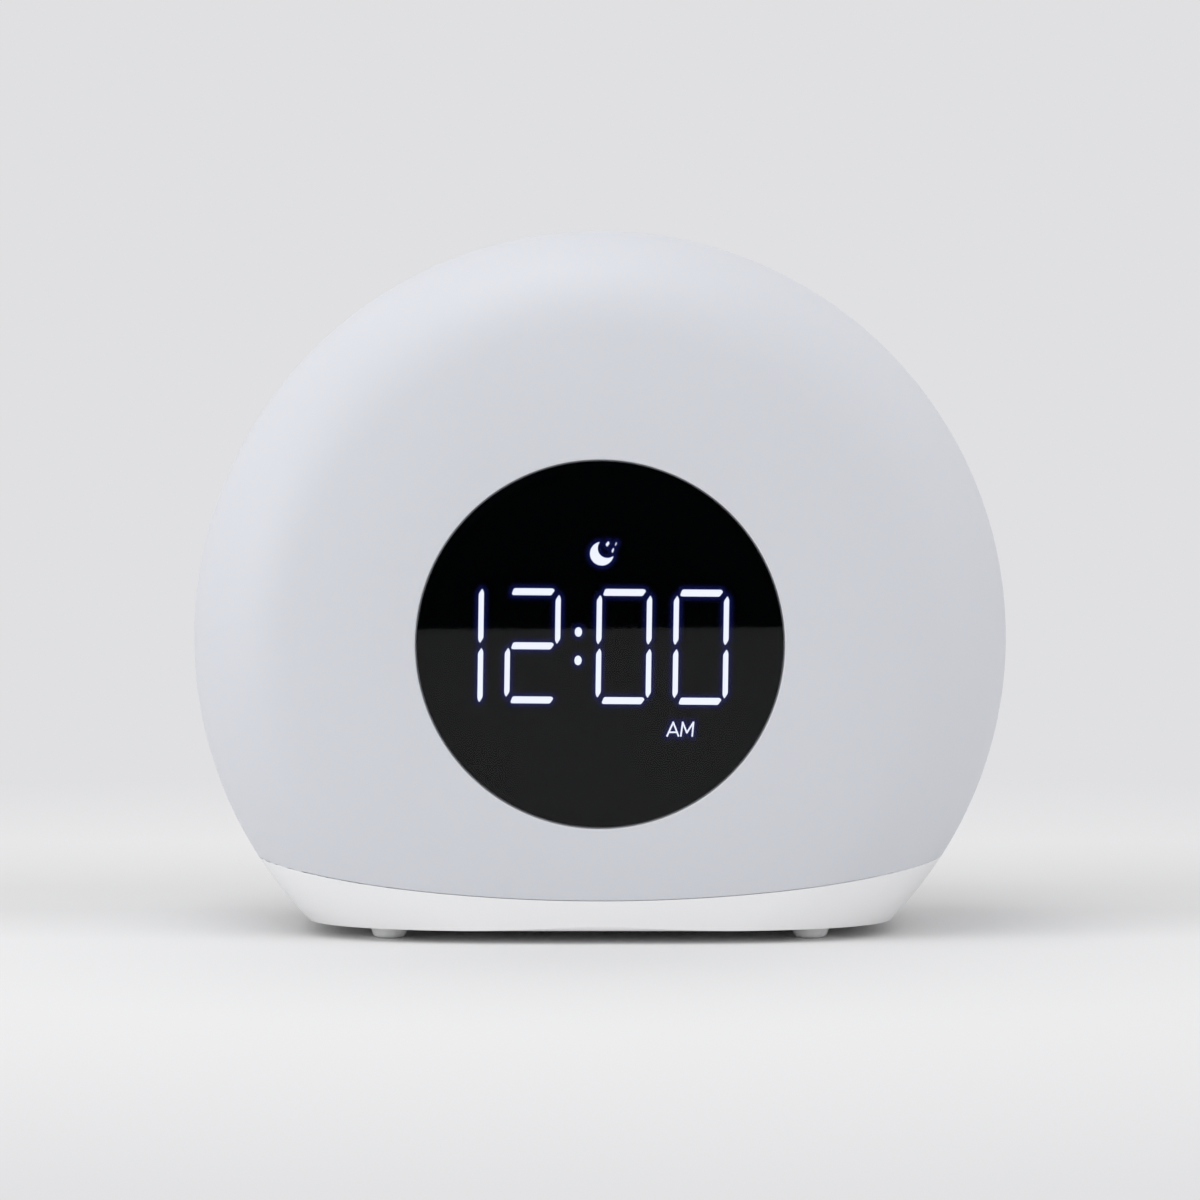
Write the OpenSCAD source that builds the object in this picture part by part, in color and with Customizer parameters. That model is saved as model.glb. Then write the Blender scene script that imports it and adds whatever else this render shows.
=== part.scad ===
// Bedside alarm clock with a night light: a round, puck-shaped milky body on a
// low white base, with a dark round display flush in its front.
// Origin: floor level under the middle. Front faces -Y, up is +Z.

/* [Body] */
// Width of the round body
body_w = 175; // [165:1:200]
// Depth of the body, front to back
body_depth = 84; // [82:1:100]
// Radius of the rounding between the rim and the faces
shoulder_r = 27; // [24:0.5:30]
// Radius of the gentle roll that leads from a flat face into the rounding
ease_r = 120; // [90:5:180]
// Radius of the flat middle of the front and the back
flat_r = 42; // [42:0.5:46]
// Height of the body's centre above its underside
centre_h = 60.8; // [58:0.2:66]
// Thickness of the shell walls
wall = 2.4; // [2:0.1:2.8]
// How far behind the middle the two shells meet
parting_y = 14; // [13.5:0.5:17]
// Thickness of the rear shell's locating lip
lip_t = 1.2; // [0.8:0.1:1.6]
// How far the lip reaches into the front shell
lip_h = 2.5; // [1.5:0.1:3]

/* [Seam and base] */
// Height of the seam above the underside, at the middle
seam_h = 6.6; // [6.2:0.1:8]
// Radius of the seam's upward curve
seam_r = 386; // [340:2:440]
// Gap at the seam
seam_gap = 0.25; // [0.1:0.05:0.5]
// Thickness of the base floor
floor_t = 2.4; // [2:0.1:3]
// Rounding of the underside's edge
edge_r = 1.5; // [0.8:0.1:2.5]

/* [Feet] */
// Height of a foot, which is the gap under the base
foot_h = 2.7; // [1.5:0.1:4]
// Diameter of a foot at the base
foot_top_d = 8.4; // [7:0.1:8.8]
// Diameter of a foot at the floor
foot_floor_d = 6.8; // [5:0.1:7]
// Sideways distance of a foot from the middle
foot_x = 45; // [43:0.5:47]
// Distance of a foot from the front or rear edge of the underside
foot_in = 14.5; // [14:0.5:18]
// Diameter of the spigot that holds a foot
spigot_d = 3.8; // [3:0.1:4.5]
// Length of that spigot
spigot_h = 1.6; // [1:0.1:1.8]

/* [Display] */
// Diameter of the dark lens
lens_d = 77.3; // [74:0.1:79]
// Thickness of the lens
lens_t = 1.8; // [1.2:0.1:2]
// Gap round the lens
lens_gap = 0.25; // [0.15:0.05:0.4]
// Thickness of the lens's adhesive ring
tape_t = 0.3; // [0.2:0.05:0.5]
// Width of the ledge that the lens is stuck to
ledge_w = 3.4; // [2.5:0.1:4]
// Thickness of that ledge
ledge_t = 2.6; // [2:0.1:3.4]
// Depth of the display housing
housing_t = 9; // [7:0.5:12]
// Width of the display holder's wall
holder_wall = 1.8; // [1.4:0.1:2.4]
// Height of a digit
digit_h = 24.6; // [22:0.1:26]
// Width of a digit
digit_w = 11.8; // [10.5:0.1:12.5]
// Distance from one digit to the next
digit_pitch = 16.25; // [15.5:0.05:16.6]
// Distance between the two digits beside the colon
colon_pitch = 19.25; // [18.5:0.05:19.6]
// Sideways place of the display's hour-tens digit
first_digit_x = -30.5; // [-31:0.1:-29]
// Width of an upright segment
upright_w = 1.3; // [1:0.05:1.6]
// Width of a level segment
level_w = 1.72; // [1.3:0.02:2]
// Gap between neighbouring segments
segment_gap = 0.25; // [0.1:0.05:0.4]
// Radius of the moon mark
moon_r = 2.75; // [2:0.05:3.2]
// Height of the AM mark
letter_h = 3.6; // [2.8:0.1:4]
// Stroke width of the AM mark
letter_stroke = 0.48; // [0.35:0.01:0.6]

/* [Light] */
// Gap between the display holder and the light board
light_gap = 2.9; // [2:0.1:4]
// Width of the light board
light_w = 11; // [9:0.5:13]
// Number of light-emitting diodes
led_count = 9; // [5:1:13]
// Width of one light-emitting diode
led_w = 5; // [3.5:0.1:5.5]

/* [Rear controls] */
// Diameter of a button cap
button_d = 9; // [8:0.1:10]
// Distance from one button to the next
button_pitch = 15; // [14.5:0.1:16]
// Space between the button recess and the switch recess
recess_space = 4; // [3:0.5:6]
// Clearance round a button
button_gap = 0.25; // [0.15:0.05:0.4]
// Travel of a button
button_travel = 0.6; // [0.3:0.05:0.7]
// Depth of the recess that the controls lie in
recess_t = 1.4; // [0.8:0.1:1.6]
// Width of the alarm switch's knob
knob_w = 4; // [3:0.1:4.4]
// Travel of the alarm switch
knob_travel = 4; // [2:0.5:4.5]

/* [Sound] */
// Diameter of the loudspeaker
speaker_d = 36; // [32:0.5:38]
// Space between the loudspeaker's collar and the switch recess
speaker_space = 2.6; // [2.2:0.2:4]
// Diameter of a grille hole
grille_hole_d = 2; // [1.4:0.1:2.4]
// Distance between the rings of grille holes
grille_step = 3.6; // [3.2:0.1:4]

/* [Power] */
// Bore of the power socket
socket_bore_d = 6; // [5.6:0.1:6.4]
// Depth of that bore
socket_depth = 9.5; // [8.5:0.1:10.5]
// Diameter of the socket's centre pin
socket_pin_d = 2.1; // [1.7:0.1:2.5]
// Clearance between the battery box, the power socket and the loudspeaker
socket_gap = 0.5; // [0.4:0.1:1.5]
// Diameter of a backup cell
cell_d = 10.5; // [9:0.1:10.5]
// Length of a backup cell
cell_l = 44.5; // [40:0.1:46]

/* [Battery bay] */
// Wall of the battery box
box_wall = 1.6; // [1.2:0.1:2]
// Room for the contacts at each end of the cells
contact_room = 2.75; // [2.5:0.05:3.2]
// Distance of the battery box's front wall from the middle
bay_front_y = 0.6; // [0:0.1:1.2]
// Thickness of the battery door
door_t = 1.9; // [1.6:0.1:2.4]
// Running clearance round the battery door
door_gap = 0.2; // [0.15:0.05:0.3]
// How far the door's side rails stick out
rail_w = 1; // [0.8:0.1:1.4]

/* [Boards] */
// Thickness of a circuit board
board_t = 1.6; // [1.2:0.1:1.8]
// Width of the main board
main_w = 70; // [64:1:72]
// Height of the main board
main_h = 48; // [44:1:50]
// Height of the main board's centre above the body's centre
main_up = 2.5; // [1.5:0.5:4]
// Distance of a board's screws from its edges
post_in = 4; // [3.5:0.1:4.5]
// Thickness of the reflector plate
reflector_t = 2; // [1.6:0.1:2.4]
// Width of the display's ribbon
ribbon_w = 14; // [10:1:16]
// Diameter of an insulated lead
lead_d = 1.3; // [1:0.1:1.5]

/* [Screws] */
// Diameter of a screw
screw_d = 2.9; // [2.4:0.1:3]
// Diameter of a screw head
screw_head_d = 5.4; // [4.6:0.1:5.6]
// Thickness of a screw head
screw_head_t = 1.8; // [1.4:0.1:2]
// Outer diameter of a screw boss
boss_d = 7.2; // [6.4:0.1:7.6]

/* [Hidden] */
$fn = 96;

body_r = body_w / 2;
half = body_depth / 2;
under_z = foot_h;
body_z = under_z + centre_h;
seam_z = under_z + seam_h;
past = 1;              // how far a cut runs past the face that it opens
far = 400;             // longer than the whole clock
touch_gap = 0.1;       // gap between pieces that lie against each other
thread_gap = 0.05;     // gap between a screw and its boss
lip_gap = 0.15;        // gap round the rear shell's lip
pass_gap = 0.25;       // gap between a screw and a hole that it passes
fit_gap = 0.3;         // gap between inner pieces that drop into one another

// The body's outline in section: a flat face, a gentle roll and a tight shoulder,
// each tangent to the next, and a straight rim.
roll_turn = asin((body_r - shoulder_r - flat_r) / (ease_r - shoulder_r));
shoulder_y = half - ease_r + (ease_r - shoulder_r) * cos(roll_turn);
roll_steps = 4;
shoulder_steps = 14;
function face_points(inset) = concat(
  [[0, half - inset]],
  [for (i = [0 : roll_steps]) let (a = roll_turn * i / roll_steps)
    [flat_r + (ease_r - inset) * sin(a), half - ease_r + (ease_r - inset) * cos(a)]],
  [for (i = [1 : shoulder_steps])
    let (a = roll_turn + (90 - roll_turn) * i / shoulder_steps)
    [body_r - shoulder_r + (shoulder_r - inset) * sin(a),
      shoulder_y + (shoulder_r - inset) * cos(a)]]);
function body_points(inset) = concat(face_points(inset),
  [for (i = [len(face_points(inset)) - 1 : -1 : 0])
    [face_points(inset)[i][0], -face_points(inset)[i][1]]]);

// Depth of the outer face at a distance r from the axis, in the flat or the roll.
function face_y(r) = half - (r > flat_r ? ease_r - sqrt(pow(ease_r, 2) - pow(r - flat_r, 2)) : 0);
inner_y = half - wall;

// Height of the seam at a sideways distance x.
function seam_at(x) = seam_z + seam_r - sqrt(pow(seam_r, 2) - pow(x, 2));

// Clamp screws that join the two shells through the reflector
clamp_in = 1.5;        // gap between a clamp boss and the rim's wall
clamp_r = body_r - wall - boss_d / 2 - clamp_in;
clamp_turns = [48, 132, 200, 340];
reflector_y = 8;
clamp_seat_y = 16;
clamp_screw_l = 19;
clamp_boss_l = 14;
plate_screw_l = 6.5;
board_screw_l = 6;
plate_boss_l = 4;

// Half width and half depth of the underside
under_half_w = sqrt(pow(body_r, 2) - pow(centre_h, 2));
under_half_d = face_y(centre_h);
foot_y = under_half_d - foot_in;

// Webs between a boss and the wall beside it
web_t = 2.6;
web_lap = 0.8;
web_step = 1;

// Screws that hold the base, from below
base_screw_x = foot_x - 8;
base_screw_y = foot_y + 4;
base_seat_t = 2.5;
base_seat_z = under_z + screw_head_t + 1.9;
base_well_top = base_seat_z + base_seat_t;
base_boss_z = base_well_top + touch_gap;
base_boss_l = 14;
base_screw_l = 12;

// Display
lens_r = lens_d / 2;
lens_back = half - lens_t;
tape_back = lens_back - tape_t;
ledge_back = tape_back - ledge_t;
aperture_r = lens_r + lens_gap - ledge_w;
tape_w = ledge_w - lens_gap - 0.4;
housing_r = aperture_r - lens_gap - touch_gap - 0.15;
housing_front = lens_back - touch_gap;
housing_back = housing_front - housing_t;
display_board_back = housing_back - board_t;
holder_in_r = housing_r + fit_gap;
holder_out_r = holder_in_r + holder_wall;
holder_front = ledge_back - fit_gap;
shelf_t = 2;
shelf_w = 4;
flange_t = 2;
holder_screw_r = holder_out_r + screw_head_d / 2 + 0.9;
flange_r = holder_screw_r + screw_head_d / 2 + 0.7;
holder_screw_turns = [90, 190, 350];

// Segments of a digit: half lengths follow from the digit's size.
upright_l = digit_h / 2 - level_w - segment_gap + level_w * 0.55;
level_l = digit_w - 2 * upright_w - 2 * segment_gap + upright_w * 0.35;
upright_x = (digit_w - upright_w) / 2;
upright_z = upright_l / 2 + segment_gap + level_w * 0.12;
level_z = (digit_h - level_w) / 2;
digits_z = -0.6;
colon_x = first_digit_x + digit_pitch + colon_pitch / 2;
colon_z = 3;
colon_w = 1.6;
colon_h = 2.1;
moon_x = 0.65;
moon_z = 18.85;
letters_x = 13.9;
letters_z = -19.85;
letter_w = letter_h * 0.78;
letter_space = 0.3;
icon_t = 1.5;          // depth of the icon and letter inserts

// Light
light_turn = 230;
light_start = -25;
light_in_r = flange_r + light_gap;
light_out_r = light_in_r + light_w;
light_mid_r = (light_in_r + light_out_r) / 2;
light_y = reflector_y - board_t;
led_t = 1.6;
light_screw_turns = [for (i = [2, floor(led_count / 2), led_count - 2])
  light_start + light_turn * i / led_count];

// Main board and its posts
main_y = reflector_y + reflector_t + plate_boss_l;
main_post_x = main_w / 2 - post_in;
main_post_z = main_h / 2 - post_in;
main_back = main_y + board_t;
main_bottom = body_z + main_up - main_h / 2;
post_d = 5.6;
chip_x = -12;
chip_w = 14;
chip_t = 1.6;
capacitor_x = 12;
capacitor_d = 8;
capacitor_h = 7;
crystal_x = 4;
crystal_w = 4;
crystal_h = 10;
crystal_t = 3;
lead_socket_x = [-16, 2, 26];
lead_socket_w = 9;
lead_socket_h = 5;
lead_socket_t = 5;
lead_socket_z = main_bottom + main_h / 2 + 2;
lead_socket_y = main_back + lead_socket_t;

// Rear controls, from the outside in
recess_y = half - recess_t;
block_y = recess_y - wall;
flange_gap = 0.1;
cap_flange_t = 1.1;
cap_flange_y = block_y - flange_gap - cap_flange_t;
cap_stem_t = 1.9;
plunger_y = cap_flange_y - cap_stem_t;
plunger_d = 3.4;
plunger_l = 2.4;
switch_w = 6;
switch_t = 3.5;
switch_y = plunger_y - 1.6;
button_board_back = switch_y - switch_t;
button_board_y = button_board_back - board_t;
panel_end = 4;
panel_side = 3;
panel_w = 4 * button_pitch + button_d + 2 * panel_end;
panel_h = button_d + 2 * panel_side;
button_board_w = panel_w + 2 * boss_d + 0.6;
board_boss_x = button_board_w / 2 - post_in;
button_names = ["minus", "light", "time", "alarm", "plus"];
knob_slot_w = knob_w + knob_travel + 2 * button_gap;
knob_slot_h = knob_w + 2 * button_gap;
knob_pocket_w = knob_slot_w + 2 * panel_side;
knob_pocket_h = knob_slot_h + 3.4;
knob_cover_lap = 1;
knob_cover_w = knob_slot_w + knob_travel + 2 * knob_cover_lap;
knob_x = -knob_travel / 2;
knob_switch_w = 13;
knob_switch_h = 6;
knob_stem_w = 2;

// Loudspeaker
speaker_r = speaker_d / 2;
gasket_t = 1;
flange_y = inner_y - gasket_t;
speaker_flange_t = 1.4;
speaker_flange_back = flange_y - speaker_flange_t;
speaker_ring_gap = 0.3;
speaker_ring_t = 1.6;
basket_depth = 6.2;
basket_r = speaker_r - 2.5;
magnet_r = 10;
magnet_t = 6;
clamp_ring_t = 1.4;
collar_r = speaker_r + speaker_ring_gap + speaker_ring_t;
speaker_boss_r = speaker_r + 3.8;
speaker_boss_d = 5.2;
speaker_turns = [35, 145, 215, 325];
speaker_screw_l = 2.2;

// Battery bay
bay_l = cell_l + 2 * contact_room;
bay_w = 2 * cell_d + 2;
channel_top = under_z + door_t + door_gap;
bay_floor_z = channel_top + box_wall;
cell_gap = 0.3;        // gap round a cell
cell_z = channel_top + cell_gap + cell_d / 2;
cell_y = cell_d / 2 + cell_gap;
bay_top = cell_z + cell_d / 2 + cell_gap + 0.1;
bay_mid_y = bay_front_y + bay_w / 2;
box_top = bay_top + box_wall;
door_w = bay_l + 4;
door_front_y = bay_front_y - 4;
door_rear_y = face_y(centre_h) - edge_r - 1.5;
rail_t = 1;
lead_x = [-18, -14];
lead_hole_d = 3;
rail_top = under_z + door_t;
channel_w = door_w + 2 * door_gap;
groove_w = channel_w + 2 * rail_w;
block_w = groove_w + 4;
reflector_bottom = box_top + 1.5;

// Power socket
socket_nose_d = socket_bore_d + 2;
socket_w = socket_bore_d + 3;
socket_h = socket_bore_d + 4.5;
socket_z = box_top + socket_gap + socket_h / 2;
socket_front_y = face_y(norm([socket_w / 2, body_z - socket_z + socket_h / 2])) - wall - touch_gap;
socket_face_y = half - 0.2;
socket_floor_y = socket_face_y - socket_depth;
socket_back_y = socket_floor_y - 4.2;
pin_recess = 1;
pin_root_d = socket_pin_d + 1;
rib_t = 1.6;

// Heights of the loudspeaker and the controls, each above the one below it
recess_rim = 2;
speaker_z = socket_z + socket_h / 2 + socket_gap + collar_r;
knob_z = speaker_z + collar_r + speaker_space + knob_pocket_h / 2;
button_z = knob_z + knob_pocket_h / 2 + recess_space + panel_h / 2;
button_board_top = button_z + panel_h / 2 + panel_side / 2;
button_board_bottom = knob_z - knob_switch_h / 2 - post_in;
board_boss_z = button_z - panel_side;

module body_form(inset) {
  translate([0, 0, body_z]) rotate([90, 0, 0]) rotate_extrude() polygon(body_points(inset));
}

// A revolved piece about the body's axis; the profile's height points to the front.
module about_axis() {
  translate([0, 0, body_z]) rotate([90, 0, 0]) rotate_extrude() children();
}

// A flat outline in the X-Z plane about the body's axis, from depth back to front.
module facing(back, front) {
  translate([0, 0, body_z]) rotate([90, 0, 0]) translate([0, 0, back])
    linear_extrude(front - back) children();
}

// A cylinder along Y from y0 to y1.
module rod_y(d, y0, y1) {
  translate([0, y1, 0]) rotate([90, 0, 0]) cylinder(d = d, h = y1 - y0);
}

module block(x0, x1, y0, y1, z0, z1) {
  translate([x0, y0, z0]) cube([x1 - x0, y1 - y0, z1 - z0]);
}

module seam_cutter(gap) {
  translate([0, 0, seam_z + seam_r]) rod_y(2 * (seam_r + gap), -far / 2, far / 2);
}

module at_clamps() {
  for (turn = clamp_turns)
    translate([clamp_r * cos(turn), 0, body_z + clamp_r * sin(turn)]) children();
}

module at_base_screws(side) {
  for (x = [-base_screw_x, base_screw_x])
    translate([x, side * base_screw_y, 0]) children();
}

// Part of the shell between two depths, counted to the front.
module shell_profile(from, to) {
  intersection() {
    difference() {
      polygon(body_points(0));
      polygon(body_points(wall));
    }
    translate([0, from]) square([body_r + past, to - from]);
  }
}

module ring_profile(in_r, out_r, from, to) {
  translate([in_r, from]) square([out_r - in_r, to - from]);
}

// Web that ties a clamp boss to the rim, short of the boss's ends.
module clamp_webs(y0, y1) {
  for (turn = clamp_turns)
    translate([0, 0, body_z]) rotate([0, -turn, 0])
      block(clamp_r + boss_d / 2 - web_lap, body_r - wall / 2, y0 + web_step, y1 - web_step,
        -web_t / 2, web_t / 2);
}

// Boss that takes a base screw, with a web to the wall beside it.
module base_bosses(side) {
  at_base_screws(side) translate([0, 0, base_boss_z]) cylinder(d = boss_d, h = base_boss_l);
  web_z = seam_at(base_screw_x + 2) + 0.5;
  web_y = base_screw_y + boss_d / 2 - web_lap;
  intersection() {
    body_form(wall / 2);
    for (x = [-base_screw_x, base_screw_x])
      block(x - web_t / 2, x + web_t / 2, side > 0 ? web_y : -half, side > 0 ? half : -web_y,
        web_z, base_boss_z + base_boss_l - web_step);
  }
}

module base_boss_holes(side) {
  at_base_screws(side) translate([0, 0, base_boss_z - past])
    cylinder(d = screw_d + 2 * thread_gap, h = base_boss_l - 1);
}

module front_shell() {
  color("#e9ebf0") difference() {
    union() {
      intersection() {
        about_axis() difference() {
          union() {
            shell_profile(-parting_y, half + past);
            ring_profile(aperture_r - 0.01, flat_r - 0.3, ledge_back, half - wall / 2);
          }
          ring_profile(-past, aperture_r, 0, half + past);
          ring_profile(-past, lens_r + lens_gap, tape_back, half + past);
        }
        seam_cutter(0);
      }
      at_clamps() rod_y(boss_d, reflector_y - clamp_boss_l, reflector_y);
      clamp_webs(reflector_y - clamp_boss_l, reflector_y);
      base_bosses(-1);
    }
    at_clamps() rod_y(screw_d + 2 * thread_gap, reflector_y - clamp_boss_l + 2, reflector_y + past);
    base_boss_holes(-1);
  }
}

// Round-ended outline between two points.
module pill(w, h) {
  square([w - h, h], center = true);
  for (x = [-(w - h) / 2, (w - h) / 2]) translate([x, 0]) circle(d = h);
}

module grille_holes() {
  for (ring = [0 : 3], k = [0 : max(0, 6 * ring - 1)]) {
    turn = ring == 0 ? 0 : 60 * k / ring;
    translate([ring * grille_step * cos(turn), 0, speaker_z + ring * grille_step * sin(turn)])
      rod_y(grille_hole_d, inner_y - past, half + past);
  }
}

module at_buttons() {
  for (i = [0 : 4]) translate([(i - 2) * button_pitch, 0, button_z]) children();
}

module at_board_bosses() {
  for (x = [-board_boss_x, board_boss_x]) translate([x, 0, board_boss_z]) children();
}

module at_speaker_screws() {
  for (turn = speaker_turns)
    translate([speaker_boss_r * cos(turn), 0, speaker_z + speaker_boss_r * sin(turn)]) children();
}

module rear_shell() {
  color("#eceded") difference() {
    union() {
      intersection() {
        about_axis() {
          shell_profile(-half - past, -parting_y);
          ring_profile(body_r - wall - lip_gap - lip_t, body_r - wall - lip_gap,
            -parting_y - lip_h, -parting_y + lip_h);
          ring_profile(body_r - wall - lip_gap - lip_t, body_r - wall / 2,
            -parting_y - lip_h, -parting_y - 0.6);
        }
        seam_cutter(0);
      }
      intersection() {
        body_form(wall / 2);
        union() {
          at_clamps() rod_y(boss_d + 1.6, reflector_y + reflector_t, half);
          facing(-half, -block_y) {
            translate([0, button_z - body_z]) pill(panel_w + 2 * recess_rim, panel_h + 2 * recess_rim);
            translate([0, knob_z - body_z])
              square([knob_pocket_w + 2 * recess_rim, knob_pocket_h + 2 * recess_rim], center = true);
          }
          at_board_bosses() rod_y(boss_d - 1.2, button_board_back, half);
          at_speaker_screws() rod_y(speaker_boss_d, speaker_flange_back, half);
          for (side = [-1, 1])
            translate([side * (socket_w / 2 + touch_gap + rib_t / 2), 0, 0])
              block(-rib_t / 2, rib_t / 2, socket_back_y + 2, half, socket_z - socket_h / 2,
                socket_z + socket_h / 2);
        }
      }
      translate([0, 0, speaker_z]) difference() {
        rod_y(2 * collar_r, speaker_flange_back, half - wall / 2);
        rod_y(2 * (speaker_r + speaker_ring_gap), speaker_flange_back - past, inner_y);
      }
      base_bosses(1);
    }
    facing(-half - past, -recess_y) {
      translate([0, button_z - body_z]) pill(panel_w, panel_h);
      translate([0, knob_z - body_z]) square([knob_pocket_w, knob_pocket_h], center = true);
    }
    at_buttons() rod_y(button_d + 2 * button_gap, block_y - past, half + past);
    translate([0, 0, knob_z])
      block(-knob_slot_w / 2, knob_slot_w / 2, block_y - past, half + past,
        -knob_slot_h / 2, knob_slot_h / 2);
    grille_holes();
    at_clamps() {
      rod_y(screw_d + 2 * pass_gap, reflector_y, half);
      rod_y(screw_head_d + 2 * pass_gap, clamp_seat_y, half + past);
    }
    at_board_bosses() rod_y(screw_d + 2 * thread_gap, button_board_back - past, block_y);
    at_speaker_screws() rod_y(screw_d + 2 * thread_gap, speaker_flange_back - past,
      speaker_flange_back + speaker_screw_l + 0.5);
    translate([0, 0, socket_z]) rod_y(socket_nose_d + 2 * touch_gap, inner_y - past, half + past);
    base_boss_holes(1);
  }
}

// Outline that bounds the base from one side: a level underside of the given half
// width, rounded into sides that leave it at the angle rise.
edge_steps = 5;
function edge_arc(half_w, rise) = [for (i = [0 : edge_steps]) let (a = rise * i / edge_steps)
  [half_w - edge_r * tan(rise / 2) + edge_r * sin(a), under_z + edge_r * (1 - cos(a))]];
function half_outline(half_w, rise) = concat(edge_arc(half_w, rise),
  [edge_arc(half_w, rise)[edge_steps] + far * [cos(rise), sin(rise)]]);
function base_outline(half_w, rise) = let (side = half_outline(half_w, rise))
  concat(side, [for (i = [len(side) - 1 : -1 : 0]) [-side[i][0], side[i][1]]]);

end_rise = atan2(under_half_w, centre_h);
face_rise = 90 - asin((centre_h - flat_r) / ease_r);

module base_outside() {
  difference() {
    intersection() {
      body_form(0);
      translate([0, far / 2, 0]) rotate([90, 0, 0]) linear_extrude(far)
        polygon(base_outline(under_half_w, end_rise));
      translate([-far / 2, 0, 0]) rotate([90, 0, 90]) linear_extrude(far)
        polygon(base_outline(under_half_d, face_rise));
    }
    seam_cutter(seam_gap);
  }
}

module base_tray() {
  color("#f2f2f3") difference() {
    union() {
      difference() {
        base_outside();
        intersection() {
          body_form(wall);
          block(-far, far, -far, far, under_z + floor_t, far);
        }
      }
      intersection() {
        body_form(wall / 2);
        block(-block_w / 2, block_w / 2, door_front_y - 3, far, under_z + floor_t / 2, bay_floor_z);
      }
      block(-bay_l / 2 - box_wall, bay_l / 2 + box_wall, bay_front_y - box_wall,
        bay_front_y + bay_w + box_wall, bay_floor_z - 1, box_top);
      for (side = [-1, 1]) at_base_screws(side)
        translate([0, 0, under_z + floor_t / 2])
          cylinder(d = boss_d + 1.4, h = base_well_top - under_z - floor_t / 2);
    }
    block(-bay_l / 2, bay_l / 2, bay_front_y, bay_front_y + bay_w, under_z, bay_top);
    block(-channel_w / 2, channel_w / 2, door_front_y - door_gap, far, under_z - past, channel_top);
    block(-groove_w / 2, groove_w / 2, door_front_y - door_gap, far,
      rail_top - rail_t - door_gap, channel_top);
    for (side = [-1, 1]) at_base_screws(side) {
      translate([0, 0, under_z - past])
        cylinder(d = screw_head_d + 2 * pass_gap, h = base_seat_z - under_z + past);
      translate([0, 0, under_z]) cylinder(d = screw_d + 2 * pass_gap, h = base_well_top);
    }
    for (x = [-foot_x, foot_x], y = [-foot_y, foot_y])
      translate([x, y, under_z - past])
        cylinder(d = spigot_d + 2 * touch_gap, h = spigot_h + touch_gap + past);
    for (x = lead_x)
      translate([x, bay_mid_y, bay_top - past]) cylinder(d = lead_hole_d, h = box_wall + 2 * past);
  }
}

module battery_door() {
  color("#eeeeef") difference() {
    union() {
      block(-door_w / 2, door_w / 2, door_front_y, door_rear_y, under_z, rail_top);
      block(-door_w / 2 - rail_w, door_w / 2 + rail_w, door_front_y, door_rear_y,
        rail_top - rail_t, rail_top);
    }
    for (i = [0 : 4])
      block(-9, 9, door_rear_y - 5 - 2 * i, door_rear_y - 4 - 2 * i, under_z - past, under_z + 0.5);
  }
}

module foot(x, y) {
  color("#dcdde0") translate([x, y, 0]) {
    cylinder(d1 = foot_floor_d, d2 = foot_top_d, h = foot_h);
    translate([0, 0, foot_h - 0.5]) cylinder(d = spigot_d, h = spigot_h + 0.5);
  }
}

module display_lens() {
  color("#0a0b0c") about_axis() ring_profile(0, lens_r, lens_back, half);
}

module lens_tape() {
  color("#1a1a1a") about_axis()
    ring_profile(lens_r - lens_gap - tape_w, lens_r - lens_gap, tape_back, lens_back);
}

// A segment along X with bevelled ends.
module segment(l, w) {
  polygon([[-l / 2, -w * 0.18], [-l / 2 + w * 0.34, -w / 2], [l / 2 - w * 0.34, -w / 2],
    [l / 2, -w * 0.18], [l / 2, w * 0.18], [l / 2 - w * 0.34, w / 2],
    [-l / 2 + w * 0.34, w / 2], [-l / 2, w * 0.18]]);
}

// Segments by letter, clockwise from the top: a b c d e f, and g in the middle.
module segments(names) {
  for (name = names) {
    if (name == "a") translate([0, level_z]) segment(level_l, level_w);
    if (name == "g") segment(level_l, level_w);
    if (name == "d") translate([0, -level_z]) segment(level_l, level_w);
    if (name == "b") translate([upright_x, upright_z]) rotate(90) segment(upright_l, upright_w);
    if (name == "c") translate([upright_x, -upright_z]) rotate(90) segment(upright_l, upright_w);
    if (name == "e") translate([-upright_x, -upright_z]) rotate(90) segment(upright_l, upright_w);
    if (name == "f") translate([-upright_x, upright_z]) rotate(90) segment(upright_l, upright_w);
  }
}

function digit_x(i) = first_digit_x + i * digit_pitch + (i > 1 ? colon_pitch - digit_pitch : 0);

module digits(lists) {
  for (i = [0 : 3]) translate([digit_x(i), digits_z]) segments(lists[i]);
}

module stroke(from, to) {
  run = to - from;
  side = [-run[1], run[0]] / norm(run) * letter_stroke / 2;
  polygon([from + side, from - side, to - side, to + side]);
}

module letters() {
  foot_z = letter_stroke / 2;
  top = letter_h - letter_stroke / 2;
  translate([letters_x, letters_z]) {
    stroke([0, 0], [letter_w / 2, letter_h]);
    stroke([letter_w, 0], [letter_w / 2, letter_h]);
    stroke([letter_w * 0.2, letter_h * 0.3], [letter_w * 0.8, letter_h * 0.3]);
    translate([letter_w + letter_space, 0]) {
      stroke([foot_z, 0], [foot_z, letter_h]);
      stroke([letter_w - foot_z, 0], [letter_w - foot_z, letter_h]);
      stroke([foot_z, top], [letter_w / 2, letter_h * 0.35]);
      stroke([letter_w - foot_z, top], [letter_w / 2, letter_h * 0.35]);
    }
  }
}

module star(r) {
  polygon([for (i = [0 : 7]) (i % 2 == 0 ? r : r * 0.42) * [cos(45 * i + 75), sin(45 * i + 75)]]);
}

module lit_digits() {
  digits(["bc", "abged", "abcdef", "abcdef"]);
  for (z = [-colon_z, colon_z])
    translate([colon_x, digits_z + z]) {
      square([colon_w, colon_h - colon_w], center = true);
      for (end = [-1, 1]) translate([0, end * (colon_h - colon_w) / 2]) circle(d = colon_w);
    }
}

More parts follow.
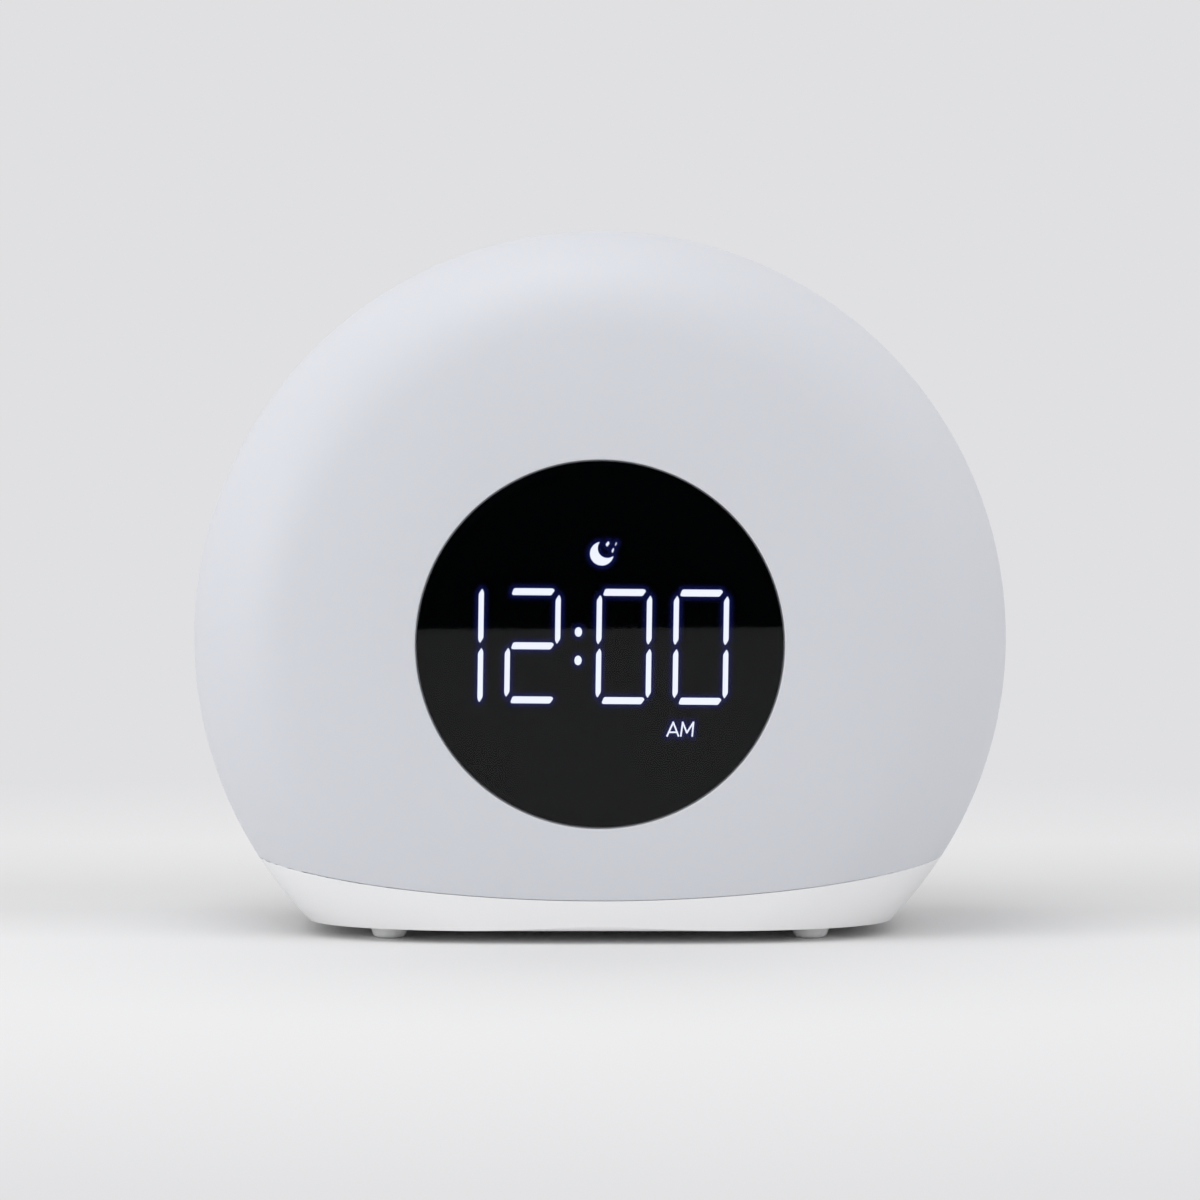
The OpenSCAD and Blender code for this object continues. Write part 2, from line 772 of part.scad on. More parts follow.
module lit_icons() {
  translate([moon_x, moon_z]) {
    difference() {
      circle(r = moon_r);
      translate([moon_r * 0.52, moon_r * 0.56]) circle(r = moon_r * 0.91);
    }
    translate([moon_r * 0.36, moon_r * 0.76]) star(moon_r * 0.24);
    translate([moon_r * 0.98, moon_r * 0.78]) star(moon_r * 0.18);
    translate([moon_r * 0.74, moon_r * 0.2]) star(moon_r * 0.2);
  }
  letters();
}

module unlit_digits() {
  digits(["", "cf", "g", "g"]);
}

module display_housing() {
  color("#141416") difference() {
    facing(housing_back, housing_front) difference() {
      circle(r = housing_r);
      lit_digits();
      unlit_digits();
    }
    facing(housing_front - icon_t, housing_front + past) lit_icons();
  }
}

module lit_segments() {
  color("#eef2ff") {
    facing(housing_back, housing_front) lit_digits();
    facing(housing_front - icon_t, housing_front) lit_icons();
  }
}

module unlit_segments() {
  color("#55585e") facing(housing_back, housing_front) unlit_digits();
}

module display_board() {
  color("#1f5b3a") about_axis() ring_profile(0, housing_r - 1, display_board_back, housing_back);
}

module at_holder_screws() {
  for (turn = holder_screw_turns)
    translate([holder_screw_r * cos(turn), 0, body_z + holder_screw_r * sin(turn)]) children();
}

module display_holder() {
  color("#26272a") difference() {
    about_axis() {
      ring_profile(holder_in_r, holder_out_r, -reflector_y, holder_front);
      ring_profile(housing_r - shelf_w, holder_in_r + holder_wall / 2,
        display_board_back - shelf_t, display_board_back);
      ring_profile(holder_in_r + holder_wall / 2, flange_r, -reflector_y, -reflector_y + flange_t);
    }
    at_holder_screws() rod_y(screw_d + 2 * pass_gap, reflector_y - flange_t - past, reflector_y + past);
  }
}

ribbon_bow = 3;
button_ribbon_w = 10;
button_ribbon_x = 26;
button_ribbon_bow = 1.5;

// Flat ribbon along Y with a slight bow, at height z.
module ribbon(w, y0, y1, z, bow) {
  steps = 16;
  t = 0.3;
  function bowed(i, up) = [y0 + (y1 - y0) * i / steps, z + up + bow * sin(180 * i / steps)];
  translate([-w / 2, 0, 0]) rotate([90, 0, 90]) linear_extrude(w)
    polygon(concat([for (i = [0 : steps]) bowed(i, 0)], [for (i = [steps : -1 : 0]) bowed(i, t)]));
}

module display_ribbon() {
  color("#cfd2d6") ribbon(ribbon_w, -display_board_back, main_y, body_z, ribbon_bow);
}

module at_main_posts() {
  for (x = [-main_post_x, main_post_x], z = [-main_post_z, main_post_z])
    translate([x, 0, body_z + main_up + z]) children();
}

module at_light_screws() {
  for (turn = light_screw_turns)
    translate([light_mid_r * cos(turn), 0, body_z + light_mid_r * sin(turn)]) children();
}

module reflector() {
  color("#fafafa") difference() {
    union() {
      intersection() {
        about_axis() ring_profile(0, body_r - wall - 0.3, -reflector_y - reflector_t, -reflector_y);
        block(-far, far, -far, far, reflector_bottom, far);
      }
      at_main_posts() rod_y(post_d, reflector_y + reflector_t / 2, main_y);
      at_holder_screws() rod_y(post_d, reflector_y + reflector_t / 2, main_y);
      at_light_screws() rod_y(post_d, reflector_y + reflector_t / 2, main_y);
    }
    at_clamps() rod_y(screw_d + 2 * pass_gap, reflector_y - past, reflector_y + reflector_t + past);
    at_main_posts() rod_y(screw_d + 2 * thread_gap, reflector_y - past, main_y + past);
    at_holder_screws() rod_y(screw_d + 2 * thread_gap, reflector_y - past, far / 8);
    at_light_screws() rod_y(screw_d + 2 * thread_gap, reflector_y - past, far / 8);
    block(-ribbon_w / 2 - 2, ribbon_w / 2 + 2, 0, main_y, body_z - 3, body_z + ribbon_bow + 4);
    translate([-light_mid_r, 0, body_z]) block(-3, 3, 0, main_y, -3, 3);
  }
}

module light_board() {
  color("#f4f4f0") difference() {
    translate([0, 0, body_z]) rotate([90, 0, 0])
      rotate_extrude(angle = light_turn, start = light_start)
        ring_profile(light_in_r, light_out_r, -reflector_y, -light_y);
    at_light_screws() rod_y(screw_d + 2 * pass_gap, light_y - past, reflector_y + past);
  }
}

module night_leds() {
  color("#ffe9a8") for (i = [0 : led_count - 1]) {
    turn = light_start + light_turn * (i + 0.5) / led_count;
    translate([0, 0, body_z]) rotate([0, -turn, 0]) translate([light_mid_r, light_y - led_t, 0]) {
      block(-led_w / 2, led_w / 2, 0, led_t, -led_w / 2, led_w / 2);
    }
  }
}

// Points of a lead that leaves p along u and arrives at q from v.
lead_steps = 12;
lead_reach = 12;             // how far a lead's free ends are drawn straight out
lead_step_x = [2, 0, 0];     // from one lead of a pair to the other
lead_step_z = [0, 0, 2];
function lead_point(p, u, v, q, t) =
  pow(1 - t, 3) * p + 3 * pow(1 - t, 2) * t * (p + u) + 3 * (1 - t) * pow(t, 2) * (q + v) + pow(t, 3) * q;
function lead_route(p, u, v, q) = [for (i = [0 : lead_steps]) lead_point(p, u, v, q, i / lead_steps)];
function unit(v) = v / norm(v);

// Insulated lead: an eight-sided tube that leaves p along u and arrives at q from v.
module lead(p, u, v, q) {
  sides = 8;
  route = lead_route(p, u, v, q);
  rings = len(route);
  headings = concat([unit(u)],
    [for (i = [1 : rings - 2]) unit(route[i + 1] - route[i - 1])], [unit(-v)]);
  reference = [0.9, 0.1, 0.42];
  ring_points = [for (i = [0 : rings - 1], k = [0 : sides - 1])
    let (along = headings[i], across = unit(cross(along, reference)), up = cross(along, across))
    route[i] + lead_d / 2 * (cos(360 * k / sides) * across + sin(360 * k / sides) * up)];
  side_faces = [for (i = [0 : rings - 2], k = [0 : sides - 1])
    let (a = i * sides + k, b = i * sides + (k + 1) % sides) [a, a + sides, b + sides, b]];
  end_faces = [[for (k = [0 : sides - 1]) k],
    [for (k = [sides - 1 : -1 : 0]) (rings - 1) * sides + k]];
  polyhedron(ring_points, concat(side_faces, end_faces), convexity = 4);
}

module lead_pair(p, u, v, q, step) {
  for (side = [0, 1]) lead(p + side * step, u, v, q + side * step);
}

module light_leads() {
  color("#c9b34a") lead_pair([-light_mid_r - 1, reflector_y, body_z], [0, lead_reach, 0],
    [0, lead_reach, 0], [3 - main_w / 2, main_back, body_z], lead_step_z);
}

module main_board() {
  color("#1f5b3a") difference() {
    block(-main_w / 2, main_w / 2, main_y, main_back, main_bottom, main_bottom + main_h);
    at_main_posts() rod_y(screw_d + 2 * pass_gap, main_y - past, main_back + past);
  }
}

module control_chip() {
  color("#202226") translate([chip_x, main_back, main_bottom + chip_w])
    block(-chip_w / 2, chip_w / 2, 0, chip_t, -chip_w / 2, chip_w / 2);
}

// Capacitor, crystal and lead sockets on the main board
module board_parts() {
  color("#2c3640") translate([capacitor_x, 0, main_bottom + main_h - capacitor_d - 2])
    rod_y(capacitor_d, main_back, main_back + capacitor_h);
  color("#b9bcc2") translate([crystal_x, main_back, main_bottom + main_h - crystal_h])
    block(-crystal_w / 2, crystal_w / 2, 0, crystal_t, -crystal_h / 2, crystal_h / 2);
  color("#f0eee6") for (x = lead_socket_x)
    translate([x, main_back, lead_socket_z])
      block(-lead_socket_w / 2, lead_socket_w / 2, 0, lead_socket_t,
        -lead_socket_h / 2, lead_socket_h / 2);
}

module button_board() {
  color("#1f5b3a") difference() {
    block(-button_board_w / 2, button_board_w / 2, button_board_y, button_board_back,
      button_board_bottom, button_board_top);
    at_board_bosses() rod_y(screw_d + 2 * pass_gap, button_board_y - past, button_board_back + past);
  }
}

module button_ribbon() {
  z = (button_board_bottom + main_bottom + main_h) / 2;
  color("#cfd2d6") translate([button_ribbon_x, 0, 0])
    ribbon(button_ribbon_w, main_back, button_board_y, z, button_ribbon_bow);
}

module switch_bodies() {
  color("#303236") at_buttons() difference() {
    block(-switch_w / 2, switch_w / 2, button_board_back, switch_y, -switch_w / 2, switch_w / 2);
    rod_y(plunger_d + 2 * button_gap, plunger_y - plunger_l - button_travel - 0.3, far / 8);
  }
}

module button(index) {
  color("#d4d6da") translate([(index - 2) * button_pitch, 0, button_z]) {
    rod_y(button_d, cap_flange_y + 0.5, half - touch_gap);
    rod_y(button_d + 1.8, cap_flange_y, cap_flange_y + cap_flange_t);
    rod_y(5, plunger_y, cap_flange_y + 0.5);
  }
}

module plunger(index) {
  color("#101113") translate([(index - 2) * button_pitch, 0, button_z])
    rod_y(plunger_d, plunger_y - plunger_l, plunger_y);
}

module alarm_knob() {
  color("#d4d6da") translate([knob_x, 0, knob_z]) {
    block(-knob_w / 2, knob_w / 2, block_y - 1.5, half - touch_gap, -knob_w / 2, knob_w / 2);
    block(-knob_cover_w / 2, knob_cover_w / 2, block_y - 1.2, block_y - 0.2,
      -knob_slot_h / 2 - 1.2, knob_slot_h / 2 + 1.2);
    block(-knob_stem_w / 2, knob_stem_w / 2, switch_y - 1.2, block_y - 1,
      -knob_stem_w / 2, knob_stem_w / 2);
  }
}

module alarm_switch_body() {
  color("#303236") translate([0, 0, knob_z]) difference() {
    block(-knob_switch_w / 2, knob_switch_w / 2, button_board_back, switch_y,
      -knob_switch_h / 2, knob_switch_h / 2);
    block(-(knob_stem_w + knob_travel) / 2 - 0.3, (knob_stem_w + knob_travel) / 2 + 0.3,
      switch_y - 1.5, switch_y + past, -knob_stem_w / 2 - 0.2, knob_stem_w / 2 + 0.2);
  }
}

module about_speaker() {
  translate([0, 0, speaker_z]) rotate([-90, 0, 0]) rotate_extrude() children();
}

module speaker_basket() {
  back = speaker_flange_back - basket_depth;
  color("#3a3c40") about_speaker() polygon([
    [speaker_r - 3, flange_y], [speaker_r, flange_y], [speaker_r, speaker_flange_back],
    [basket_r, speaker_flange_back], [magnet_r, back], [0, back], [0, back + 1.2],
    [magnet_r - 0.5, back + 1.2], [speaker_r - 3.8, speaker_flange_back]]);
}

module speaker_magnet() {
  back = speaker_flange_back - basket_depth;
  color("#55585c") translate([0, 0, speaker_z]) rod_y(2 * magnet_r, back - magnet_t, back);
}

module speaker_cone() {
  dome_r = 6;
  dome_h = 1;
  cone_depth = 4;
  cone_t = 0.5;
  cone_r = speaker_r - 3.7;
  front = flange_y - 0.4;
  color("#1c1d1f") about_speaker() polygon([
    [cone_r, front], [cone_r - 0.8, front], [dome_r, flange_y - cone_depth],
    [0, flange_y - cone_depth + dome_h], [0, flange_y - cone_depth + dome_h - cone_t],
    [dome_r, flange_y - cone_depth - 0.6], [cone_r - 0.1, front - cone_t]]);
}

module speaker_gasket() {
  color("#2a2a2a") about_speaker() ring_profile(speaker_r - 3, speaker_r, flange_y, inner_y);
}

module speaker_clamp() {
  color("#c9cbd0") translate([0, 0, speaker_z]) difference() {
    union() {
      rod_y(2 * (speaker_r + 1.6), speaker_flange_back - clamp_ring_t, speaker_flange_back);
      translate([0, 0, -speaker_z]) at_speaker_screws()
        rod_y(speaker_boss_d + 1, speaker_flange_back - clamp_ring_t, speaker_flange_back);
    }
    rod_y(2 * (speaker_r - 2), speaker_flange_back - clamp_ring_t - past, far / 8);
    translate([0, 0, -speaker_z]) at_speaker_screws()
      rod_y(screw_d + 2 * pass_gap, speaker_flange_back - clamp_ring_t - past, far / 8);
  }
}

// They leave the basket's sloping side above the magnet.
module speaker_leads() {
  start_r = (speaker_r + magnet_r) / 2;
  slope = basket_depth / (basket_r - magnet_r);
  start_y = speaker_flange_back - (basket_r - start_r + lead_d / 2) * slope - touch_gap;
  color("#b03030") lead_pair([-1, start_y, speaker_z + start_r], [0, -3, 0], [0, 3, 0],
    [lead_socket_x[1] - 1, lead_socket_y, lead_socket_z], lead_step_x);
}

module power_socket() {
  color("#1a1b1d") difference() {
    union() {
      block(-socket_w / 2, socket_w / 2, socket_back_y, socket_front_y,
        socket_z - socket_h / 2, socket_z + socket_h / 2);
      translate([0, 0, socket_z]) rod_y(socket_nose_d, inner_y - 1, socket_face_y);
    }
    translate([0, 0, socket_z]) {
      rod_y(socket_bore_d, socket_floor_y, half + past);
      rod_y(pin_root_d, socket_back_y - past, half);
    }
  }
}

module socket_pin() {
  color("#c8c9cc") translate([0, 0, socket_z]) {
    rod_y(socket_pin_d, socket_floor_y, socket_face_y - pin_recess);
    rod_y(pin_root_d, socket_back_y, socket_floor_y);
  }
}

module power_leads() {
  color("#202020") lead_pair([-3, socket_back_y, socket_z], [0, -lead_reach, 0], [0, lead_reach, 0],
    [lead_socket_x[2] - 1, lead_socket_y, lead_socket_z], lead_step_x);
}

// Two cells in series, so they lie head to tail.
module backup_cells() {
  nub_l = 1;
  nub_d = 3.8;
  color("#7d8590") for (k = [-1, 1])
    translate([0, bay_mid_y + k * cell_y, cell_z]) rotate([0, 90 * k, 0]) {
      translate([0, 0, -cell_l / 2]) cylinder(d = cell_d, h = cell_l - nub_l);
      translate([0, 0, cell_l / 2 - nub_l - 0.2]) cylinder(d = nub_d, h = nub_l + 0.2);
    }
}

// Leaf contacts at the ends of the bay: one bridge and two single plates
module cell_contacts() {
  plate_t = contact_room - 0.3;
  plate_w = 7;
  plate_h = 6;
  color("#c8c9cc") {
    translate([0, bay_mid_y, cell_z])
      block(bay_l / 2 - plate_t, bay_l / 2, 2 - cell_d, cell_d - 2, -plate_h / 2, plate_h / 2);
    for (k = [-1, 1]) translate([0, bay_mid_y + k * cell_y, cell_z])
      block(-bay_l / 2, -bay_l / 2 + plate_t, -plate_w / 2, plate_w / 2, -plate_h / 2, plate_h / 2);
  }
}

module battery_leads() {
  color("#b03030") for (i = [0, 1])
    lead([lead_x[i], bay_mid_y, bay_top + 0.2], [0, 0, lead_reach], [0, lead_reach, 0],
      [lead_socket_x[0] - 1 + 2 * i, lead_socket_y, lead_socket_z]);
}

// A screw with its seat at the origin, head up and shank down.
module screw(length) {
  slot_w = 0.8;
  slot_l = screw_head_d * 0.62;
  slot_t = screw_head_t * 0.55;
  difference() {
    union() {
      cylinder(d = screw_head_d, h = screw_head_t);
      translate([0, 0, -length]) cylinder(d = screw_d, h = length + screw_head_t / 2);
    }
    for (turn = [0, 90]) rotate([0, 0, turn])
      block(-slot_l / 2, slot_l / 2, -slot_w / 2, slot_w / 2, screw_head_t - slot_t, screw_head_t + past);
  }
}

module shell_screws() {
  color("#b9bcc2") at_clamps() translate([0, clamp_seat_y + touch_gap, 0]) rotate([-90, 0, 0])
    screw(clamp_screw_l);
}

module base_screws() {
  color("#b9bcc2") for (side = [-1, 1]) at_base_screws(side)
    translate([0, 0, base_seat_z - touch_gap]) rotate([180, 0, 0]) screw(base_screw_l);
}

module display_screws() {
  color("#b9bcc2") {
    at_holder_screws()
      translate([0, reflector_y - flange_t - touch_gap, 0]) rotate([90, 0, 0]) screw(plate_screw_l);
    at_light_screws()
      translate([0, light_y - touch_gap, 0]) rotate([90, 0, 0]) screw(plate_screw_l);
  }
}

module board_screws() {
  color("#b9bcc2") {
    at_main_posts() translate([0, main_back + touch_gap, 0]) rotate([-90, 0, 0]) screw(board_screw_l);
    at_board_bosses() translate([0, button_board_y - touch_gap, 0]) rotate([90, 0, 0]) screw(board_screw_l);
  }
}

module speaker_screws() {
  color("#b9bcc2") at_speaker_screws()
    translate([0, speaker_flange_back - clamp_ring_t - touch_gap, 0]) rotate([90, 0, 0])
      screw(clamp_ring_t + speaker_screw_l);
}

front_shell();
rear_shell();
base_tray();
battery_door();
foot(-foot_x, -foot_y);  // foot_front_left
foot(foot_x, -foot_y);  // foot_front_right
foot(-foot_x, foot_y);  // foot_rear_left
foot(foot_x, foot_y);  // foot_rear_right
display_lens();
lens_tape();
display_housing();
lit_segments();
unlit_segments();
display_board();
display_holder();
display_ribbon();
reflector();
light_board();
night_leds();
light_leads();
main_board();
control_chip();
board_parts();
button_board();
button_ribbon();
switch_bodies();
button(0);  // minus_button
button(1);  // light_button
button(2);  // time_button
button(3);  // alarm_button
button(4);  // plus_button
plunger(0);  // minus_plunger
plunger(1);  // light_plunger
plunger(2);  // time_plunger
plunger(3);  // alarm_plunger
plunger(4);  // plus_plunger
alarm_knob();
alarm_switch_body();
speaker_basket();
speaker_magnet();
speaker_cone();
speaker_gasket();
speaker_clamp();
speaker_leads();
power_socket();
socket_pin();
power_leads();
backup_cells();
cell_contacts();
battery_leads();
shell_screws();
base_screws();
display_screws();
board_screws();
speaker_screws();
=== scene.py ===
"""Bedside alarm clock with a night light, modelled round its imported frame.

Laid out as an add-on and run as a script: the property groups hold the sizes
and colours, each operator makes one piece or one group of like pieces, and the
panel lists them. All lengths are metres. The front faces -Y and up is +Z.
"""

import math

import bmesh
import bpy
from bpy.props import FloatProperty, FloatVectorProperty, PointerProperty
from mathutils import Matrix, Vector
from mathutils.kdtree import KDTree


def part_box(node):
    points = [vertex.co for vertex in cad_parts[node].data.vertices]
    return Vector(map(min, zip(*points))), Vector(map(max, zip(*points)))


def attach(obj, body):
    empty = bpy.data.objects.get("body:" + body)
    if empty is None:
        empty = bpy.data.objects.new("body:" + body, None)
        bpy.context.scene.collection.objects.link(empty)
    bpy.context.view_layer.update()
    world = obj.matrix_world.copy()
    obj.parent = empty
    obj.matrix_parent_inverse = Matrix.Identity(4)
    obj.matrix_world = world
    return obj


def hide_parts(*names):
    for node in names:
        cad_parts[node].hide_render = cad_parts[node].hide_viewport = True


bl_info = {
    "name": "Night Light Alarm Clock",
    "version": (1, 0, 0),
    "blender": (4, 5, 0),
    "location": "3D View > Sidebar > Clock",
    "description": "Models and finishes a round bedside alarm clock with a night light",
    "category": "Add Mesh",
}

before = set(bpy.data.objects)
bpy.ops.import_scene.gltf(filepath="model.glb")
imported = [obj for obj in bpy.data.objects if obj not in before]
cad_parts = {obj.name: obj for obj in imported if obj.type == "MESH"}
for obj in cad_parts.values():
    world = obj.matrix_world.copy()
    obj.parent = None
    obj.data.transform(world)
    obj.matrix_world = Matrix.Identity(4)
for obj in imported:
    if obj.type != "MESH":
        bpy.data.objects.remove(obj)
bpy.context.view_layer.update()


def height_of(node):
    """Height of the middle of one of the frame's nodes."""
    low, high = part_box(node)
    return (low.z + high.z) / 2


MM = 0.001
JOIN = 5e-7                # points nearer to each other than this are one point
CLEAR = 2e-5               # keeps a cutter's face off the face that it meets
SHARP = math.radians(38)   # edges that turn further than this stay sharp
SKIN = 0.9 * MM            # depth that is shaped here; below it the frame's shape is taken
SKIN_SLACK = 0.06 * MM     # how far off the skin a point may lie and still belong to it
SKIN_MATCH = 0.995         # how well a face on the skin points along the skin's direction
OUTSIDE = 3 * MM           # how far a cutter stands out of the face that it cuts
THROUGH = 0.1              # half the length of a cutter that passes through the whole clock
ABOVE_ALL, BELOW_ALL = 0.3, -0.05   # heights past the clock's top and its underside
# How finely rounds are divided: the body, what is hollowed, the two arcs and the seam
ROUND_STEPS, INNER_STEPS, ROLL_STEPS, SHOULDER_STEPS, SEAM_STEPS = 256, 96, 8, 28, 128
SEAM_STRIPS = (0.1, 0.3, 0.6, 1)    # where the rounding along the seam is cut into strips
LENS_LOW, LENS_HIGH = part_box("display_lens")
SHELL_LOW, SHELL_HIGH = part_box("front_shell")
DOOR_LOW, DOOR_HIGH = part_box("battery_door")
REAR_LOW, BASE_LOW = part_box("rear_shell")[0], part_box("base_tray")[0]
CENTRE_Z = height_of("display_lens")


# ---------------------------------------------------------------- properties


def length(name, description, default):
    """A length property in metres."""
    return FloatProperty(name=name, description=description, default=default, min=0,
                         precision=5, unit="LENGTH", subtype="DISTANCE")


def colour(name, description, default):
    """A linear colour property."""
    return FloatVectorProperty(name=name, description=description, default=default,
                               subtype="COLOR", size=3, min=0, max=1)


def number(name, description, default):
    """A plain number property."""
    return FloatProperty(name=name, description=description, default=default, min=0,
                         precision=4)


class ClockBody(bpy.types.PropertyGroup):
    """Sizes of the round body and the base below it"""

    radius: length("Radius", "Radius of the round body", SHELL_HIGH.z - CENTRE_Z)
    half_depth: length("Half depth", "Half of the body's depth", -SHELL_LOW.y)
    shoulder: length("Shoulder", "Radius between the rim and the faces", 27 * MM)
    roll: length("Roll", "Radius of the gentle roll beside the flat middle", 120 * MM)
    flat: length("Flat", "Radius of the flat middle", 42 * MM)
    wall: length("Wall", "Thickness of the shells", 2.4 * MM)
    parting: length("Parting", "Where the two shells meet, behind the middle", 14 * MM)
    parting_line: length("Parting line", "Rounding of the edges at the parting", 0.25 * MM)
    seam: length("Seam", "Height of the seam in the middle", BASE_LOW.z + 6.6 * MM)
    seam_bend: length("Seam bend", "Radius of the seam's upward curve", 386 * MM)
    seam_gap: length("Seam gap", "Gap between the shells and the base", 0.07 * MM)
    seam_trim: length("Seam trim", "How far the new parts are cut back at the seam", 0.02 * MM)
    lens_gap: length("Lens gap", "Gap round the lens", 0.25 * MM)
    lens_edge: length("Lens seat edge", "Rounding of the edge round the lens", 0.35 * MM)
    under: length("Underside", "Height of the underside", BASE_LOW.z)
    under_edge: length("Underside edge", "Rounding of the underside's edge", 1.5 * MM)
    milky: colour("Milky", "Colour of the front shell", (0.636, 0.651, 0.69))
    white: colour("White", "Colour of the rear shell", (0.74, 0.745, 0.76))
    glossy: colour("Glossy white", "Colour of the base", (0.845, 0.845, 0.85))


class ClockDisplay(bpy.types.PropertyGroup):
    """The display behind the lens"""

    drop: length("Digit drop", "How far the digits' middle lies below the lens's middle",
                 0.46 * MM)
    lens_density: number("Lens density", "How much light one face of the lens holds back", 0.45)
    black: colour("Black", "Colour of the display's face", (0.001, 0.001, 0.0011))
    lit: colour("Lit", "Colour of the lit marks", (0.83, 0.87, 1.0))
    brightness: number("Brightness", "Strength of the lit marks", 3.3)
    glow: colour("Glow", "Colour of the light that spills beside the marks", (0.09, 0.12, 1.0))
    glow_strength: number("Glow strength", "Strength of that light at the marks' edges", 0.2)
    glow_spread: length("Glow spread", "How far that light reaches", 0.65 * MM)


class ClockBack(bpy.types.PropertyGroup):
    """Keys, knob, grille and socket on the back"""

    row: length("Key row", "Height of the key row", height_of("time_button"))
    slide: length("Slide", "Height of the alarm slide", height_of("alarm_knob"))
    grille: length("Grille", "Height of the grille's middle", height_of("speaker_gasket"))
    socket: length("Socket", "Height of the power socket", height_of("power_socket"))
    pitch: length("Key pitch", "Distance between two keys", 15 * MM)
    recess: length("Recess", "Depth of the recesses round the keys and the knob", 1.4 * MM)
    dish: length("Key dish", "Depth of the hollow in a key", 0.25 * MM)
    key_grey: colour("Key grey", "Colour of the keys and the knob", (0.52, 0.53, 0.55))
    mark_grey: colour("Mark grey", "Colour of the marks on the keys", (0.09, 0.095, 0.105))


class ClockStudio(bpy.types.PropertyGroup):
    """Floor, lights and camera"""

    backdrop: colour("Backdrop", "Colour behind the clock", (0.745, 0.745, 0.76))
    sky: colour("Sky", "Colour of the even light", (0.843, 0.843, 0.853))
    floor: colour("Floor", "Colour of the floor beside the clock", (0.765, 0.765, 0.765))
    # Painted shadow: the floor behind the clock is painted darker where the clock's broad soft
    # shadow falls
    floor_painted_shadow: colour("Floor band", "Colour of the floor behind the clock",
                       (0.685, 0.685, 0.685))
    # Painted light: the floor before the clock is painted a little lighter where the light falls
    # on it
    floor_painted_light: colour("Floor front", "Colour of the floor before the clock",
                        (0.775, 0.775, 0.775))
    overhead: number("Overhead light", "Power of the lamp above, in watts", 6.4)
    left: number("Left light", "Power of the large lamp on the left, in watts", 1.45)
    beside: number("Low left light", "Power of the small lamp beside the clock, in watts", 1.65)
    right: number("Right light", "Power of the lamp on the right, in watts", 1.4)
    distance: length("Distance", "Camera's distance from the middle", 1.2)
    eye: length("Eye height", "Camera's height", 0.1275)
    reach: number("Reach", "Focal length as a share of the picture's width", 4.592)
    pitch: number("Pitch", "How far the camera looks down, in radians", 0.0471)


# ------------------------------------------------------------- drawing tools


class Drawing:
    """A wire on the bench plane (u, v): straight runs, arcs and rounded corners."""

    def __init__(self, u, v, rounding=0.0):
        self.mesh = bmesh.new()
        self.first = self.tip = self.mesh.verts.new((u, v, 0))
        self.corners = [(self.tip, rounding)]

    def line(self, u, v, rounding=0.0):
        """Runs straight to (u, v), where the corner can be rounded."""
        point = self.mesh.verts.new((u, v, 0))
        self.mesh.edges.new((self.tip, point))
        self.tip = point
        self.corners.append((point, rounding))
        return self

    def arc(self, u, v, angle, steps=24):
        """Turns the tip about (u, v), anticlockwise where the angle is positive."""
        made = bmesh.ops.spin(self.mesh, geom=[self.tip], cent=(u, v, 0), axis=(0, 0, 1),
                              dvec=(0, 0, 0), angle=angle, steps=steps)
        self.tip = made["geom_last"][0]
        return self

    def close(self):
        """Joins the tip to the start."""
        if (self.tip.co - self.first.co).length < JOIN:
            bmesh.ops.weld_verts(self.mesh, targetmap={self.tip: self.first})
        else:
            self.mesh.edges.new((self.tip, self.first))
        return self

    def round_corners(self, segments=4):
        """Rounds the corners that were given a rounding."""
        for vert, rounding in self.corners:
            if rounding:
                bmesh.ops.bevel(self.mesh, geom=[vert], offset=rounding, segments=segments,
                                profile=0.5, affect="VERTICES", material=-1)

    def lathe(self, turn, steps=ROUND_STEPS):
        """Spins the wire about its v axis, laid along Y, and places it with turn."""
        self.round_corners()
        mesh = self.mesh
        bmesh.ops.spin(mesh, geom=mesh.verts[:] + mesh.edges[:], cent=(0, 0, 0),
                       axis=(0, 1, 0), dvec=(0, 0, 0), angle=math.tau, steps=steps,
                       use_merge=True)
        bmesh.ops.remove_doubles(mesh, verts=mesh.verts, dist=JOIN)
        bmesh.ops.recalc_face_normals(mesh, faces=mesh.faces)
        bmesh.ops.transform(mesh, matrix=turn, verts=mesh.verts)
        return mesh

    def prism(self, start, end, turn=None, taper=()):
        """Fills the closed wire, u along X and v up, and extrudes it along Y. The far
        end is stepped inwards by the taper's pairs of width and depth."""
        self.round_corners()
        mesh = self.mesh
        upright = Matrix.Translation((0, start, 0)) @ Matrix.Rotation(math.pi / 2, 4, "X")
        bmesh.ops.transform(mesh, matrix=upright, verts=mesh.verts)
        bmesh.ops.contextual_create(mesh, geom=mesh.edges[:])
        grown = bmesh.ops.extrude_face_region(mesh, geom=mesh.faces[:])["geom"]
        moved = [part for part in grown if isinstance(part, bmesh.types.BMVert)]
        cap = [part for part in grown if isinstance(part, bmesh.types.BMFace)]
        bmesh.ops.translate(mesh, verts=moved, vec=(0, end - start, 0))
        bmesh.ops.recalc_face_normals(mesh, faces=mesh.faces)
        for width, depth in taper:
            bmesh.ops.inset_region(mesh, faces=cap, use_boundary=True, use_even_offset=True,
                                   thickness=width, depth=depth)
        if turn:
            bmesh.ops.transform(mesh, matrix=turn, verts=mesh.verts)
        return mesh


def wire(*points):
    """A drawing through points in millimetres: u, v and, where given, a rounding."""
    first, *others = [[value * MM for value in point] for point in points]
    drawing = Drawing(*first)
    for point in others:
        drawing.line(*point)
    return drawing


def plate(width, height, rounding):
    """Closed outline of a plate in millimetres, round its middle."""
    u, v = width / 2, height / 2
    return wire((-u, -v, rounding), (u, -v, rounding), (u, v, rounding),
                (-u, v, rounding)).close()


def pill(width, height):
    """Closed round-ended outline in millimetres, round its middle."""
    u, v = (width - height) / 2, height / 2
    drawing = wire((-u, -v), (u, -v)).arc(u * MM, 0, math.pi)
    return drawing.line(-u * MM, v * MM).arc(-u * MM, 0, math.pi).close()


